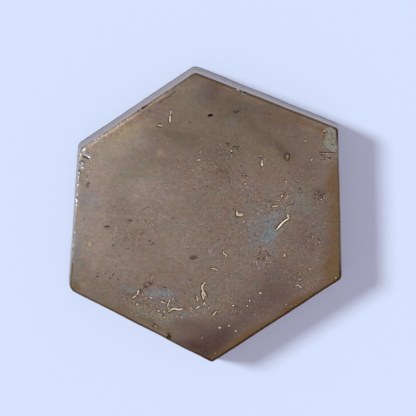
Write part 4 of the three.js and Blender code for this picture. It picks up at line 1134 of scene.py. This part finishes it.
# Painted shade: the rim facing away from the window, nearly black with a brown tint.
rim_shade_line = ramp(rim, -0.7, -0.45) * (1 - ramp(rim + (grit - 0.5) * 0.3, 0.15, 0.5))
rim_shade_share = rim_shade_line * ramp(reading("rim_shade") + patchy * 0.4, 0.1, 0.8)
tinted = mix(rim_shade_share, tinted, (0.065, 0.028, 0.004))

# Bare pyrite in the broken floors of the chips, pale and shining in some and dark brown in others. The
# pale floors are partly a painted highlight, the glint of the window's light on fresh pyrite. The field
# is 0 where nothing is broken.
broken = reading("broken")
broken_share = ramp(broken, 0.0, 0.05)
chip_floor_and_glint = mix(ramp(crumbs + (broken - 0.5) * 0.6, 0.4, 0.6), (0.09, 0.07, 0.055), (0.62, 0.65, 0.68))
chip_floor_and_glint = mix(ramp(broken, 0.0, 0.5), (0.1, 0.055, 0.03), chip_floor_and_glint)
tinted = mix(broken_share * 0.9, tinted, chip_floor_and_glint)

# Holes of lost grains and cracks, blue black to red brown, the strongest nearly black. The dark is
# partly painted shade, for the shade inside these hollows, and partly their own dull floors.
hole = reading("hole") + (grit - 0.5) * 0.14
hole_strength = reading("hole_strength")
hole_share = ramp(hole, -0.1, 0.03) * hole_strength
hole_and_shade_colour = mix(reading("hole_hue"), (0.03, 0.026, 0.04), (0.075, 0.03, 0.012))
hole_and_shade_colour = mix(ramp(hole_strength, 0.9, 1.0), hole_and_shade_colour, (0.002, 0.002, 0.002))
tinted = mix(hole_share, tinted, hole_and_shade_colour)

# Pale grains and threads of softer mineral, each with a thin dark ring round it.
grain = reading("grain") + (grit - 0.5) * 0.14
grain_strength = reading("grain_strength")
dark_ring = ramp(grain, -0.2, -0.06) * grain_strength
tinted = mix(dark_ring * 0.75, tinted, (0.065, 0.048, 0.022))
grain_colour = mix(reading("grain_hue"), (0.68, 0.64, 0.59), (0.56, 0.47, 0.27))
grain_colour = mix(ramp(mottle, 0.4, 0.7) * 0.3, grain_colour, (0.4, 0.38, 0.24))
grain_colour = mix(ramp(grain_strength, 1.0, 1.3), grain_colour, (0.86, 0.82, 0.6))
grain_share = ramp(grain, -0.03, 0.06) * grain_strength
tinted = mix(grain_share, tinted, grain_colour)

# The face shines softly and the sides a little more. The sides grow dull towards their foot, under the
# painted shade there.
rough = 0.4 + (swells - 0.5) * 0.2 + (grit - 0.5) * 0.2
rough = rough * (1 - side_share) + side_share * (0.26 + (lines - 0.5) * 0.1 + (mottle - 0.5) * 0.2)
dull_side = foot_shade + facet_line * 0.5 + ramp(depth, FACET_LINE, 4.2) * 0.3
dull_side = dull_side * side_share * (1 - back_share)
rough = rough + dull_side * 0.45
rough = rough + back_share * 0.2 + hole_share * 0.2 + grain_share * 0.1
rough = rough + rim_shade_share * 0.2 + wear_and_highlight_line * 0.25
metal = 0.9 - grain_share * 0.6 - hole_share * 0.4 - dull_side * 0.6
relief = relief * (1 - side_share * 0.7) + (lines - 0.5) * side_share * 0.0015
relief = relief + (lap + cross - 1.0) * back_share * 0.006
relief = relief + (speckle(3, 3, 0.6) - 0.5) * broken_share * 0.12
bumped = pen.add("ShaderNodeBump", {}, {"Strength": 1.0, "Distance": 0.001, "Height": relief}, "Normal")

surface = pen.add(
    "ShaderNodeBsdfPrincipled", {},
    {"Base Color": tinted, "Metallic": metal, "Roughness": rough, "Normal": bumped}, "BSDF")
pen.add("ShaderNodeOutputMaterial", {}, {"Surface": surface})
slab_mesh.materials.clear()  # cutting the chips left an empty place in the list
slab_mesh.materials.append(skin)

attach(slab, "root")
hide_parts("pyrite_slab")

# ---------------------------------------------------------------------------------------------------
# The tabletop. A wide sheet of smooth pale board that the stone lies on. It glows a little, as a board
# does that the whole room lights, so that the stone's shadow on it stays pale and even.

TABLE_SIZE = 6.0  # metres
half = TABLE_SIZE / 2
table_corners = [(-half, -half, 0), (half, -half, 0), (half, half, 0), (-half, half, 0)]
table_mesh = bpy.data.meshes.new("tabletop")
table_mesh.from_pydata(table_corners, [], [(0, 1, 2, 3)])
table = placed("tabletop", table_mesh)
board = bpy.data.materials.new("pale_board")
board.use_nodes = True
for name, value in (
        ("Base Color", (0.195, 0.233, 0.306, 1)),
        ("Emission Color", (0.217, 0.216, 0.297, 1)),
        ("Emission Strength", 1.0),
        ("Roughness", 0.9),
        ("Specular IOR Level", 0.1)):
    board.node_tree.nodes["Principled BSDF"].inputs[name].default_value = value
table_mesh.materials.append(board)

# ---------------------------------------------------------------------------------------------------
# The light. Daylight from a window at the left, with a share of its own for the board, and the soft
# light of a pale room.

SUN_HEADING = 162  # degrees, where the daylight comes from in plan
SUN_TILT = 54  # degrees from straight overhead
SUN_WIDTH = 14  # degrees across


def daylight(name, colour, strength):
    """A lamp in the direction of the window."""
    lamp = bpy.data.lights.new(name, "SUN")
    lamp.color = colour
    lamp.energy = strength
    lamp.angle = math.radians(SUN_WIDTH)
    window = placed(name, lamp)
    window.rotation_euler = (0, math.radians(SUN_TILT), math.radians(SUN_HEADING))
    return window


daylight("window_daylight", (0.96, 1.0, 0.99), 2.56)
board_lamp = daylight("board_daylight", (0.967, 1.0, 0.95), 6.375)
board_only = bpy.data.collections.new("board_only")
board_only.objects.link(table)
board_lamp.light_linking.receiver_collection = board_only

room = bpy.data.worlds.new("pale_room")
room.use_nodes = True
room.node_tree.nodes.clear()
air = Wire(room.node_tree)
up = part(air.add("ShaderNodeTexCoord", {}, {}, "Generated"), "Z")
walls_to_ceiling = ((0.0, (0.52, 0.45, 0.455)), (1.0, (0.89, 0.755, 0.768)))
glow = air.add("ShaderNodeValToRGB", {"stops": walls_to_ceiling}, {"Fac": up}, "Color")
sky = air.add("ShaderNodeBackground", {}, {"Color": glow, "Strength": 1.0}, "Background")
air.add("ShaderNodeOutputWorld", {}, {"Surface": sky})
bpy.context.scene.world = room
bpy.context.scene.view_settings.view_transform = "Standard"

# ---------------------------------------------------------------------------------------------------
# The camera, held nearly straight above the stone and tipped back a little.

camera_data = bpy.data.cameras.new("camera")
camera_data.lens = 152.4
camera_data.sensor_width = 36
camera_data.clip_start = 0.01
camera = placed("camera", camera_data)
camera.location = (0.00045, 0.0378, 0.26297)
camera.rotation_euler = (math.radians(-8), 0, 0)
bpy.context.scene.camera = camera
